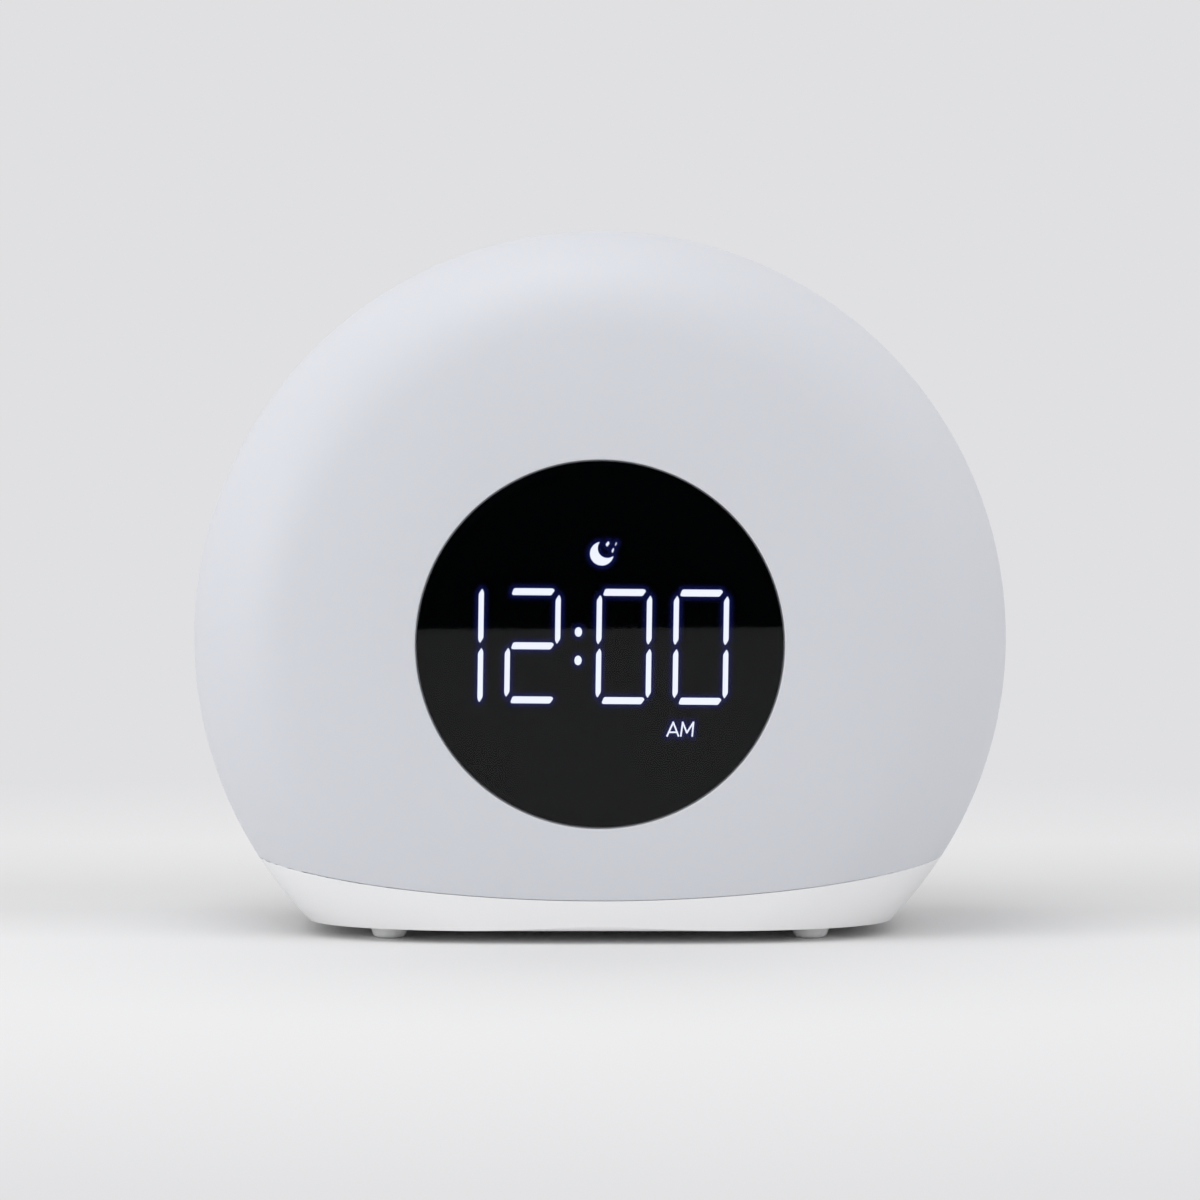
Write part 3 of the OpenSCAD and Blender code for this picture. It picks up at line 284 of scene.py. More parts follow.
def round_edge(radius, steps=4):
    """Taper that rounds an edge over."""
    turns = [math.pi / 2 * i / steps for i in range(steps + 1)]
    return [(radius * (math.cos(a) - math.cos(b)), radius * (math.sin(b) - math.sin(a)))
            for a, b in zip(turns, turns[1:])]


def flared(radius, depth, corner, steps=4):
    """Taper of a cutter: a rounded mouth, straight sides and a softened floor."""
    turns = [math.pi / 2 * i / steps for i in range(steps + 1)]
    mouth = [(radius * (math.sin(b) - math.sin(a)), radius * (math.cos(a) - math.cos(b)))
             for a, b in zip(turns, turns[1:])]
    draft = corner / 50
    return mouth + [(draft, depth - radius - corner)] + round_edge(corner, steps)


def along_y(x, z):
    """Placing of a lathed mesh whose axis runs front to back."""
    return Matrix.Translation((x, 0, z))


def along_z(x, y):
    """Placing of a lathed mesh whose axis stands upright."""
    return Matrix.Translation((x, y, 0)) @ Matrix.Rotation(math.pi / 2, 4, "X")


def along_x(y, z, way):
    """Placing of a lathed mesh whose axis runs to the right (way 1) or the left (way -1)."""
    return Matrix.Translation((0, y, z)) @ Matrix.Rotation(-way * math.pi / 2, 4, "Z")


def gather(*meshes):
    """One bmesh with the given ones in it, which are used up."""
    whole = bmesh.new()
    for mesh in meshes:
        passing = bpy.data.meshes.new("passing")
        mesh.to_mesh(passing)
        mesh.free()
        whole.from_mesh(passing)
        bpy.data.meshes.remove(passing)
    return whole


def piece_from(mesh, name):
    """Object with the bmesh as its mesh."""
    data = bpy.data.meshes.new(name)
    mesh.to_mesh(data)
    mesh.free()
    made = bpy.data.objects.new(name, data)
    bpy.context.scene.collection.objects.link(made)
    return made


def mesh_of(piece):
    """The piece's mesh as a bmesh; the piece is used up."""
    mesh = bmesh.new()
    mesh.from_mesh(piece.data)
    bpy.data.meshes.remove(piece.data)
    return mesh


def combine(piece, tool, how="DIFFERENCE", overlap=False):
    """Cuts, joins or intersects the piece with a tool, a bmesh that is used up."""
    cutter = piece_from(tool, "tool")
    modifier = piece.modifiers.new(how, "BOOLEAN")
    modifier.operation, modifier.solver, modifier.object = how, "EXACT", cutter
    modifier.use_self = overlap
    settle(piece)
    bpy.data.meshes.remove(cutter.data)
    close_hairlines(piece)
    return piece


def settle(piece):
    """Makes the piece's modifiers a part of its mesh."""
    bpy.context.view_layer.update()
    whole = piece.evaluated_get(bpy.context.evaluated_depsgraph_get())
    data = bpy.data.meshes.new_from_object(whole)
    piece.modifiers.clear()
    old, piece.data = piece.data, data
    bpy.data.meshes.remove(old)


def close_hairlines(piece):
    """Closes the gaps without width that a cut can leave."""
    mesh = bmesh.new()
    mesh.from_mesh(piece.data)
    gaps = [edge for edge in mesh.edges if edge.is_boundary]
    if gaps:
        bmesh.ops.holes_fill(mesh, edges=gaps, sides=0)
        mesh.to_mesh(piece.data)
    mesh.free()


def smooth(piece, skin=None):
    """Smooth faces, with the sharp edges kept and the broad faces even. Where skin gives
    the body's sizes, the faces on its skin are shaded by the skin's own direction, and
    apart from the faces beside them."""
    piece.data.shade_smooth()
    piece.data.set_sharp_from_angle(angle=SHARP)
    if skin:
        mesh = bmesh.new()
        mesh.from_mesh(piece.data)
        for edge in mesh.edges:
            if len({on_skin(skin, face.calc_center_median(), face.normal)
                    for face in edge.link_faces}) > 1:
                edge.smooth = False
        mesh.to_mesh(piece.data)
        mesh.free()
    piece.modifiers.new("even", "WEIGHTED_NORMAL").keep_sharp = True
    settle(piece)
    if skin:
        data = piece.data
        ways = [corner.vector.copy() for corner in data.corner_normals]
        for face in data.polygons:
            if on_skin(skin, face.center, face.normal):
                for corner in face.loop_indices:
                    place = data.vertices[data.loops[corner].vertex_index].co
                    ways[corner] = skin_direction(skin, place) or ways[corner]
        data.normals_split_custom_set(ways)


# ------------------------------------------------------------ the body's skin


def roll_turn(body):
    """How far the gentle roll turns before the shoulder takes over."""
    return math.asin((body.radius - body.shoulder - body.flat) / (body.roll - body.shoulder))


def shoulder_depth(body):
    """How far the shoulder's centre lies from the middle of the body."""
    return body.half_depth - body.roll + (body.roll - body.shoulder) * math.cos(roll_turn(body))


def body_arcs(drawing, body, side, inward=False, late=0.0):
    """Draws the roll and the shoulder of the front (side -1) or the back (side 1),
    from the flat to the rim, or from the rim to the flat where inward is set. The
    shoulder is shorter by the angle late."""
    turn = roll_turn(body)
    way = side if inward else -side
    arcs = [(body.flat, side * (body.half_depth - body.roll), way * turn, ROLL_STEPS),
            (body.radius - body.shoulder, side * shoulder_depth(body),
             way * (math.pi / 2 - turn - late), SHOULDER_STEPS)]
    for centre_u, centre_v, angle, steps in reversed(arcs) if inward else arcs:
        drawing.arc(centre_u, centre_v, angle, steps)
    return drawing


def puck(body, inset=0.0, steps=ROUND_STEPS):
    """The whole round body as one solid, its skin set in by inset."""
    face, shoulder_v = body.half_depth - inset, shoulder_depth(body)
    drawing = Drawing(0, -face).line(body.flat, -face)
    body_arcs(drawing, body, -1)
    drawing.line(body.radius - inset, shoulder_v)
    body_arcs(drawing, body, 1, inward=True)
    return drawing.line(0, face).lathe(along_y(0, CENTRE_Z), steps)


def skin_direction(body, place):
    """Outward direction of the body's skin at a place on it, or None away from it."""
    r, side = max(JOIN, math.hypot(place.x, place.z - CENTRE_Z)), math.copysign(1, place.y)
    depth, turn = abs(place.y), roll_turn(body)
    if r < body.flat:
        off, out, ahead = depth - body.half_depth, 0, 1
    else:
        centre = (body.flat, body.half_depth - body.roll)
        radius = body.roll
        if math.atan2(r - centre[0], depth - centre[1]) > turn:
            centre, radius = (body.radius - body.shoulder, shoulder_depth(body)), body.shoulder
        out, ahead = r - centre[0], max(0.0, depth - centre[1])
        span = math.hypot(out, ahead)
        off, out, ahead = span - radius, out / span, ahead / span
    if abs(off) > SKIN_SLACK:
        return None
    return Vector((out * place.x / r, ahead * side, out * (place.z - CENTRE_Z) / r))


def on_skin(body, place, way):
    """Whether a face with its middle at a place and its normal that way is on the skin."""
    out = skin_direction(body, place)
    return bool(out and way.dot(out) > SKIN_MATCH)


def seam_height(body, x, gap=0.0):
    """Height of the seam at a sideways distance, lowered by gap."""
    return body.seam + body.seam_bend - math.sqrt((body.seam_bend + gap) ** 2 - x * x)


def seam_tool(body, gap, above):
    """What the seam takes away: all that lies above it, or all that lies below it."""
    radius, reach = body.seam_bend + gap, math.radians(16)
    centre = body.seam + body.seam_bend
    end_u, end_v = radius * math.sin(reach), centre - radius * math.cos(reach)
    far = ABOVE_ALL if above else BELOW_ALL
    drawing = Drawing(-end_u, end_v).arc(0, centre, 2 * reach, SEAM_STEPS)
    return drawing.line(end_u, far).line(-end_u, far).close().prism(-THROUGH, THROUGH)


def round_seam(piece, body, gap, side, width):
    """Rounds the skin's edge along the seam of a part above it (side 1) or below it
    (side -1). The seam is laid level, the skin beside it is cut into strips, and each
    strip is drawn in."""
    mesh = bmesh.new()
    mesh.from_mesh(piece.data)
    for vert in mesh.verts:
        vert.co.z -= seam_height(body, vert.co.x, gap)
    for share in SEAM_STRIPS:
        bmesh.ops.bisect_plane(mesh, geom=mesh.verts[:] + mesh.edges[:] + mesh.faces[:],
                               dist=JOIN, plane_co=(0, 0, side * share * width),
                               plane_no=(0, 0, 1))
    moves = []
    for vert in mesh.verts:
        off = side * vert.co.z
        vert.co.z += seam_height(body, vert.co.x, gap)
        if -JOIN < off < width:
            out = skin_direction(body, vert.co)
            if out:
                rise = 1 - max(0.0, off) / width
                moves.append((vert, out * width * (1 - math.sqrt(1 - rise * rise))))
    for vert, move in moves:
        vert.co -= move
    mesh.to_mesh(piece.data)
    mesh.free()


def hollow_like(piece, body, node, lowest=None):
    """Hollows a solid piece as the frame's node is, from a little below its skin and,
    where lowest is given, above that height."""
    inner = bmesh.new()
    inner.from_mesh(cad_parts[node].data)
    bmesh.ops.remove_doubles(inner, verts=inner.verts, dist=2 * JOIN)
    whole = puck(body, SKIN, INNER_STEPS)
    if lowest:
        bmesh.ops.bisect_plane(whole, geom=whole.verts[:] + whole.edges[:] + whole.faces[:],
                               plane_co=(0, 0, lowest), plane_no=(0, 0, 1), clear_inner=True)
        bmesh.ops.holes_fill(whole, edges=[edge for edge in whole.edges if edge.is_boundary],
                             sides=0)
    combine(piece, mesh_of(combine(piece_from(whole, "room"), inner)))


# ------------------------------------------------------------------ finishes

CLOUD_SCALE, CLOUD_DETAIL = 38, 3   # the faint cloud in moulded plastic
MOST_SWING = 0.05                   # most that the cloud may change the roughness


class Finish:
    """A material whose nodes are added and linked in one call each."""

    def __init__(self, name):
        self.material = bpy.data.materials.new(name)
        self.material.use_nodes = True
        self.tree = self.material.node_tree
        self.shader = self.tree.nodes["Principled BSDF"]
        self.place = self.tree.nodes.new("ShaderNodeTexCoord").outputs["Object"]

    def node(self, kind, sockets, **settings):
        """Adds a node; sockets gives its inputs as values or as sockets to link."""
        made = self.tree.nodes.new("ShaderNode" + kind)
        for name, value in settings.items():
            setattr(made, name, value)
        self.feed(made, sockets)
        return made

    def feed(self, node, sockets):
        for name, value in sockets.items():
            if isinstance(value, bpy.types.NodeSocket):
                self.tree.links.new(value, node.inputs[name])
            elif isinstance(name, str) and node.inputs[name].type == "RGBA":
                node.inputs[name].default_value = (*value, 1)
            else:
                node.inputs[name].default_value = value

    def surface(self, **sockets):
        """Sets the shader's own sockets."""
        self.feed(self.shader, {name.replace("_", " "): value
                                for name, value in sockets.items()})
        return self.material

    def noise(self, scale, detail=2.0, stretch=(1, 1, 1)):
        """Share that wanders with the place, scale times a metre."""
        laid = self.node("Mapping", {"Vector": self.place, "Scale": stretch}).outputs[0]
        return self.node("TexNoise", {"Vector": laid, "Scale": scale,
                                      "Detail": detail}).outputs["Fac"]

    def along(self, axis):
        """The place along one axis."""
        return self.node("SeparateXYZ", {0: self.place}).outputs[axis]

    def math(self, operation, first, second):
        """What a Math node makes of two numbers."""
        return self.node("Math", {0: first, 1: second}, operation=operation).outputs[0]

    def between(self, share, first, second):
        """A colour that goes from first to second with the share."""
        mix = self.node("Mix", {0: share}, data_type="RGBA")
        for slot, tint in ((6, first), (7, second)):
            if isinstance(tint, bpy.types.NodeSocket):
                self.tree.links.new(tint, mix.inputs[slot])
            else:
                mix.inputs[slot].default_value = (*tint, 1)
        return mix.outputs[2]

    def spread(self, share, low, high, start=0.0, stop=1.0):
        """A number that goes from low to high as the share goes from start to stop."""
        return self.node("MapRange", {"Value": share, "From Min": start, "From Max": stop,
                                      "To Min": low, "To Max": high}).outputs["Result"]

    def relief(self, height, depth):
        """Normals of a relief that is as deep as given where the height is 1."""
        return self.node("Bump", {"Height": height, "Distance": depth}).outputs["Normal"]


def moulded(name, tint, gloss, cloud=0.015, grain=2600, depth=0.006 * MM, **sockets):
    """Moulded plastic or rubber: a faint cloud in its colour and a fine grain."""
    finish = Finish(name)
    shift, swing = finish.noise(CLOUD_SCALE, CLOUD_DETAIL), min(MOST_SWING, 2 * cloud)
    return finish.surface(
        Base_Color=finish.between(shift, tuple(c * (1 - cloud) for c in tint),
                                  tuple(min(1, c * (1 + cloud)) for c in tint)),
        Roughness=finish.spread(shift, gloss - swing, gloss + swing),
        Normal=finish.relief(finish.noise(grain, 3), depth), **sockets)


def metal(name, tint, gloss, dull=0.82):
    """Bare metal with fine marks and a slight tarnish, where its colour is duller."""
    finish = Finish(name)
    marks, tarnish = finish.noise(900, 2), finish.noise(160, 4)
    return finish.surface(
        Base_Color=finish.between(tarnish, tuple(c * dull for c in tint), tint),
        Metallic=1.0, Roughness=finish.spread(marks, gloss - 0.08, gloss + 0.1),
        Normal=finish.relief(marks, 0.004 * MM))


def circuit_board(name, mask, copper):
    """Solder mask over copper tracks, with rows of bare pads."""
    finish, track_run, pad_pitch = Finish(name), 9 * MM, 3.2 * MM
    laid = finish.node("Mapping", {"Vector": finish.place,
                                   "Rotation": (math.pi / 2, 0, 0)}).outputs[0]
    tracks = finish.node("TexBrick", {"Vector": laid, "Scale": 1 / track_run,
                                      "Mortar Size": 0.06, "Brick Width": 0.62,
                                      "Row Height": 0.31},
                         offset=0.37, squash=0.6, squash_frequency=3).outputs["Fac"]
    pads = finish.node("TexVoronoi", {"Vector": finish.place, "Scale": 1 / pad_pitch,
                                      "Randomness": 0.55}).outputs["Distance"]
    pad = finish.spread(pads, 1.0, 0.0, 0.13, 0.17)
    lined = finish.between(tracks, mask, tuple(min(1, c * 1.9) for c in mask))
    return finish.surface(
        Base_Color=finish.between(pad, lined, copper),
        Metallic=finish.spread(pad, 0.0, 0.9), Roughness=finish.spread(tracks, 0.34, 0.27),
        Normal=finish.relief(finish.math("MAXIMUM", tracks, pad), 0.03 * MM))


def insulated(name, tint):
    """Soft lead insulation with faint lengthwise drawing marks."""
    return moulded(name, tint, 0.38, cloud=0.06, grain=700, depth=0.02 * MM)


def ribbon(name):
    """Flat cable: grey jacket ridged over each core, the first core marked red. Its grey has
    painted shade in the grooves and painted light on the ridges.
    """
    finish, core, half, stripe = Finish(name), 0.5 * MM, 7 * MM, 0.7 * MM
    x = finish.along("X")
    height = finish.spread(finish.math("PINGPONG", x, core), 0.0, 1.0, 0.0, core)
    first_core = finish.math("LESS_THAN", finish.math("PINGPONG", x, half), stripe)
    # Painted shade and light: the jacket is darker down in the grooves and lighter on the ridges
    grey = finish.between(height, (0.30, 0.31, 0.33), (0.62, 0.63, 0.66))
    return finish.surface(Base_Color=finish.between(first_core, grey, (0.45, 0.05, 0.04)),
                          Roughness=0.42, Normal=finish.relief(height, 0.12 * MM))


def foam(name, tint, cell=0.5 * MM):
    """Closed-cell foam, with painted shade that darkens each cell down in its hollow."""
    finish = Finish(name)
    cells = finish.node("TexVoronoi", {"Vector": finish.place,
                                       "Scale": 1 / cell}).outputs["Distance"]
    # Painted shade: each cell is half as bright down in its hollow
    return finish.surface(
        Base_Color=finish.between(cells, tuple(c * 0.5 for c in tint), tint),
        Roughness=0.95, Normal=finish.relief(cells, 0.12 * MM))


def cone_paper(name):
    """Pressed paper pulp, darker where the fibres lie thin."""
    finish = Finish(name)
    fibre = finish.noise(1400, 6, (1, 1, 2.5))
    return finish.surface(Base_Color=finish.between(fibre, (0.008, 0.008, 0.009),
                                                    (0.045, 0.044, 0.042)),
                          Roughness=0.88, Sheen_Weight=0.15,
                          Normal=finish.relief(fibre, 0.1 * MM))


def mixed_parts(name):
    """Board parts by their place: dark capacitor sleeve, bright crystal can, pale sockets."""
    finish, sockets_top, can_side = Finish(name), 74 * MM, 7.2 * MM
    fine = finish.noise(1500, 3)
    upper = finish.math("GREATER_THAN", finish.along("Z"), sockets_top)
    sleeve = finish.math("GREATER_THAN", finish.along("X"), can_side)
    can = finish.math("SUBTRACT", upper, finish.math("MULTIPLY", upper, sleeve))
    ivory = finish.between(fine, (0.66, 0.63, 0.54), (0.76, 0.73, 0.64))
    part = finish.between(sleeve, finish.between(fine, (0.45, 0.46, 0.48), (0.62, 0.63, 0.65)),
                          (0.012, 0.02, 0.05))
    return finish.surface(Base_Color=finish.between(upper, ivory, part), Metallic=can,
                          Roughness=finish.spread(fine, 0.3, 0.42),
                          Normal=finish.relief(fine, 0.01 * MM))


def cell_jacket(name, tint, band, bay_middle, reach):
    """Printed sleeve of a backup cell: a pale band round the end with the button, which
    is the right one on the rear cell and the left one on the front cell."""
    finish, band_start, bare_end = Finish(name), reach * 0.52, reach - 0.7 * MM
    x = finish.along("X")
    rear = finish.math("GREATER_THAN", finish.along("Y"), bay_middle)
    place = finish.math("MULTIPLY", x, finish.spread(rear, -1.0, 1.0))
    banded = finish.math("GREATER_THAN", place, band_start)
    metal_end = finish.math("GREATER_THAN", finish.math("ABSOLUTE", x, 0.0), bare_end)
    fine = finish.noise(600, 4)
    sleeve = finish.between(banded, finish.between(fine, tuple(c * 0.9 for c in tint), tint),
                            band)
    return finish.surface(Base_Color=finish.between(metal_end, sleeve, (0.62, 0.61, 0.58)),
                          Metallic=finish.spread(metal_end, 0.15, 1.0),
                          Roughness=finish.spread(fine, 0.22, 0.34),
                          Normal=finish.relief(fine, 0.01 * MM))


# ---------------------------------------------------------------- operators


class Maker(bpy.types.Operator):
    """What the operators share"""

    bl_options = {"REGISTER", "UNDO"}


def set_material(piece, material):
    piece.data.materials.clear()
    piece.data.materials.append(material)
    return piece


def dress(piece, material, body, slot, *nodes, skin=None):
    """Finishes a new piece: its material, its body and the frame's nodes that it stands for,
    which are hidden. The slot is not used.
    """
    smooth(set_material(piece, material), skin)
    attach(piece, body)
    if nodes:
        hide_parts(*nodes)
    return piece


# Places and sizes that the shells, the base and the screws share
CLAMP_CIRCLE, CLAMP_TURNS, CLAMP_SEAT = 80 * MM, (48, 132, 200, 340), 16 * MM
BASE_SEAT = BASE_LOW.z + 3.7 * MM
CLAMP_WELL, BASE_WELL, SCREW_HOLE = 2.98 * MM, 2.97 * MM, 1.72 * MM
FEET = ("foot_front_left", "foot_front_right", "foot_rear_left", "foot_rear_right")

# Openings of the back in millimetres: across and up, or the radius
KEY_RECESS, SLIDE_RECESS, SLIDE_SLOT = (77.04, 15.04), (14.54, 7.94), (8.54, 4.54)
KEY_HOLE, GRILLE_HOLE, SOCKET_HOLE = 4.77, 1.01, 4.12
GRILLE_RINGS, GRILLE_STEP = 4, 3.6


def stepped_well(placing, mouth, well, seat, end, flare=0.0):
    """Cutter for a screw well: the head's room down to its seat, then the shank's hole.
    Its axis runs from the mouth inwards; lengths along it are given from the frame."""
    way = 1 if mouth > seat else -1
    mouth += way * CLEAR
    drawing = Drawing(0, mouth + way * OUTSIDE)
    if flare:
        drawing.line(well + flare, mouth + way * OUTSIDE).line(well + flare, mouth)
        drawing.arc(well + flare, mouth - way * flare, way * math.pi / 2, 4)
    else:
        drawing.line(well, mouth + way * OUTSIDE)
    seat -= way * CLEAR
    drawing.line(well, seat).line(SCREW_HOLE, seat).line(SCREW_HOLE, end).line(0, end)
    return drawing.lathe(placing, 48)


def round_hole(x, z, radius, inner, face, flare):
    """Cutter for a round hole through the back, with a softened mouth."""
    face += CLEAR
    drawing = Drawing(0, inner).line(radius, inner).line(radius, face - flare)
    drawing.arc(radius + flare, face - flare, -math.pi / 2, 4)
    drawing.line(radius + flare, face + OUTSIDE).line(0, face + OUTSIDE)
    return drawing.lathe(along_y(x, z), 40)


def end_at_seam(shell, body):
    """Cuts a shell off along the seam and rounds the edge that is left."""
    combine(shell, seam_tool(body, -body.seam_trim, above=False))
    round_seam(shell, body, -body.seam_trim, 1, 0.12 * MM)


class CLOCK_OT_front_shell(Maker):
    """Milky front shell with the lens seat, its bosses, and the curved seam below"""

    bl_idname = "clock.front_shell"
    bl_label = "Front shell"

    def execute(self, context):
        body = context.scene.clock_body
        pocket_r, face = LENS_HIGH.x + body.lens_gap, body.half_depth
        seat = LENS_HIGH.y + 0.3 * MM   # the tape lies in between
        drawing = Drawing(0, seat).line(pocket_r, seat).line(pocket_r, -face, body.lens_edge)
        drawing.line(body.flat, -face)
        body_arcs(drawing, body, -1)
        drawing.line(body.radius, body.parting, body.parting_line).line(0, body.parting)
        shell = piece_from(drawing.lathe(along_y(0, CENTRE_Z)), "milky_front_shell")
        hollow_like(shell, body, "front_shell")
        end_at_seam(shell, body)
        milky = moulded("milky_diffuser", body.milky, 0.5, cloud=0.008,
                        Subsurface_Weight=0.3, Subsurface_Radius=(1.0, 0.9, 0.8),
                        Subsurface_Scale=2 * MM)
        dress(shell, milky, "clock", "milky_diffuser", "front_shell", skin=body)
        return {"FINISHED"}


class CLOCK_OT_rear_shell(Maker):
    """White rear shell with the key recess, the grille, the socket hole and the wells"""

    bl_idname = "clock.rear_shell"
    bl_label = "Rear shell"

    def execute(self, context):
        body, keys = context.scene.clock_body, context.scene.clock_back
        lip, start = REAR_LOW.y - 0.5 * MM, body.parting + CLEAR / 2
        lip_r, face = body.radius - 1 * MM, body.half_depth
        late = math.asin((start - shoulder_depth(body)) / body.shoulder)
        rim = body.radius - body.shoulder * (1 - math.cos(late))
        drawing = Drawing(0, lip).line(lip_r, lip).line(lip_r, start)
        drawing.line(rim, start, body.parting_line)
        body_arcs(drawing, body, 1, inward=True, late=late)
        drawing.line(0, face)
        shell = piece_from(drawing.lathe(along_y(0, CENTRE_Z)), "white_rear_shell")
        hollow_like(shell, body, "rear_shell")

        flare, outside = 0.45 * MM, face + OUTSIDE
        taper = flared(flare, keys.recess + 2 * CLEAR, 0.3 * MM)
        recess, pocket = ([side + 2 * flare / MM for side in size]
                          for size in (KEY_RECESS, SLIDE_RECESS))
        combine(shell, gather(
            pill(*recess).prism(outside, face + CLEAR, along_y(0, keys.row), taper),
            plate(*pocket, 1.6).prism(outside, face + CLEAR, along_y(0, keys.slide), taper)))
        floor = face - keys.recess
        under_floor, under_face = floor - body.wall - 1 * MM, face - body.wall - 1 * MM
        holes = [round_hole(x, keys.row, KEY_HOLE * MM, under_floor, floor, 0.25 * MM)
                 for x in keys_at(keys)]
        holes.append(plate(*SLIDE_SLOT, 0.5).prism(outside, under_floor, along_y(0, keys.slide)))
        for ring in range(GRILLE_RINGS):
            count = max(1, 6 * ring)
            for k in range(count):
                turn, radius = math.tau * k / count, ring * GRILLE_STEP * MM
                holes.append(round_hole(radius * math.cos(turn),
                                        keys.grille + radius * math.sin(turn),
                                        GRILLE_HOLE * MM, under_face, face, 0.2 * MM))
        holes.append(round_hole(0, keys.socket, SOCKET_HOLE * MM, under_face, face, 0.35 * MM))
        holes += [stepped_well(along_y(x, z), face, CLAMP_WELL, CLAMP_SEAT, 9 * MM)
                  for x, z in clamp_places()]
        combine(shell, gather(*holes))
        end_at_seam(shell, body)
        white = moulded("white_shell", body.white, 0.4, cloud=0.008)
        dress(shell, white, "clock", "white_shell", "rear_shell", skin=body)
        return {"FINISHED"}


def keys_at(keys):
    """Sideways places of the five keys."""
    return [(i - 2) * keys.pitch for i in range(5)]


def clamp_places():
    """Places (x, z) of the four screws that hold the two shells together."""
    return [(CLAMP_CIRCLE * math.cos(math.radians(turn)),
             CENTRE_Z + CLAMP_CIRCLE * math.sin(math.radians(turn))) for turn in CLAMP_TURNS]


def base_screw_places():
    """Places (x, y) of the four screws that hold the base."""
    return [(x * MM, y * MM) for x in (-37, 37) for y in (-30.02, 30.02)]


def under_outline(body, half, rise, far=0.25):
    """Level underside rounded into sides that lean out at the angle rise, for far."""
    edge = body.under_edge
    start = half - edge * math.tan(rise / 2)
    drawing = Drawing(-start, body.under).line(start, body.under)
    drawing.arc(start, body.under + edge, rise, ROLL_STEPS)
    tip = drawing.tip.co
    out, top = tip.x + far * math.cos(rise), tip.y + far * math.sin(rise)
    drawing.line(out, top).line(-out, top).line(-tip.x, tip.y)
    return drawing.arc(-start, body.under + edge, rise, ROLL_STEPS).close()


def foot_stand(node):
    """Placing of a lathed mesh upright in the middle of a foot."""
    low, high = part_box(node)
    middle = (low + high) / 2
    return along_z(middle.x, middle.y)


def spigot_hole(node):
    """Cutter for the hole that holds a foot's spigot."""
    radius, deep = 2.02, 4.42
    return wire((0, 1), (radius, 1), (radius, deep), (0, deep)).lathe(foot_stand(node), 40)


class CLOCK_OT_base(Maker):
    """White base tray with the battery box, the door's channel and the screw wells"""

    bl_idname = "clock.base"
    bl_label = "Base"

    def execute(self, context):
        body = context.scene.clock_body
        drop = CENTRE_Z - body.under
        half_w = math.sqrt(body.radius ** 2 - drop ** 2)
        lean = math.asin((drop - body.flat) / body.roll)
        half_d = body.half_depth - body.roll + body.roll * math.cos(lean)
        tray = piece_from(puck(body), "base_tray_shell")
        quarter = Matrix.Rotation(math.pi / 2, 4, "Z")
        for half, rise, turn in ((half_w, math.atan2(half_w, drop), None),
                                 (half_d, math.pi / 2 - lean, quarter)):
            outline = under_outline(body, half, rise)
            combine(tray, outline.prism(-THROUGH, THROUGH, turn), "INTERSECT")
        hollow_like(tray, body, "base_tray", body.under + 0.9 * MM)

        low, gap, bevel, rail = body.under, 0.21 * MM, 0.3 * MM, 1 * MM
        half, rail_low, rail_high = DOOR_HIGH.x - rail + gap, low + 0.69 * MM, low + 2.11 * MM
        side = ((half + bevel, low - CLEAR), (half, low + bevel), (half, rail_low),
                (half + rail, rail_low), (half + rail, rail_high))
        channel = Drawing(-half - bevel, low - 2 * MM).line(half + bevel, low - 2 * MM)
        for u, v in (*side, *((-u, v) for u, v in reversed(side))):
            channel.line(u, v)
        combine(tray, channel.close().prism(DOOR_LOW.y - gap, 60 * MM))
        wells = [stepped_well(along_z(x, y), low, BASE_WELL, BASE_SEAT, low + 6.4 * MM, bevel)
                 for x, y in base_screw_places()]
        combine(tray, gather(*wells, *map(spigot_hole, FEET)))
        outer = combine(piece_from(seam_tool(body, body.seam_gap, above=True), "outer"),
                        puck(body, SKIN + CLEAR, INNER_STEPS))
        combine(tray, mesh_of(outer))
        round_seam(tray, body, body.seam_gap, -1, 0.2 * MM)
        white = moulded("glossy_white", body.glossy, 0.28, cloud=0.005, depth=0.004 * MM,
                        Coat_Weight=0.2, Coat_Roughness=0.15)
        dress(tray, white, "clock", "white_shell", "base_tray", skin=body)
        return {"FINISHED"}


class CLOCK_OT_door(Maker):
    """Battery door with its side rails and finger grooves"""

    bl_idname = "clock.battery_door"
    bl_label = "Battery door"

    def execute(self, context):
        low, high, wide = DOOR_LOW.z / MM, DOOR_HIGH.z / MM, DOOR_HIGH.x / MM
        side, rail_low, corner = wide - 1, high - 1, 0.4 * MM
        outline = wire((-side, low), (side, low), (side, rail_low), (wide, rail_low),
                       (wide, high), (-wide, high), (-wide, rail_low), (-side, rail_low)).close()
        front, rear, under = DOOR_LOW.y, DOOR_HIGH.y, DOOR_LOW.z
        door = piece_from(outline.prism(front, rear - corner, taper=round_edge(corner, 3)),
                          "battery_cover_door")
        groove = flared(0.2 * MM, 0.5 * MM, 0.2 * MM, 3)
        combine(door, gather(*[pill(18.4, 1.4).prism(
            -1 * MM + under, under, along_z(0, rear - (4.5 + 2 * i) * MM), groove)
            for i in range(5)]))
        arrow = wire((-1.6, -1.2, 0.2), (1.6, -1.2, 0.2), (0, 1.4, 0.2)).close()
        turn = (Matrix.Translation((0, rear - 17 * MM, 0)) @ Matrix.Rotation(math.pi, 4, "Z")
                @ Matrix.Rotation(math.pi / 2, 4, "X"))
        combine(door, arrow.prism(under - 1 * MM, under + 0.35 * MM, turn))
        white = moulded("door_white", context.scene.clock_body.glossy, 0.32, cloud=0.008)
        dress(door, white, "battery_cover", "white_shell", "battery_door")
        return {"FINISHED"}


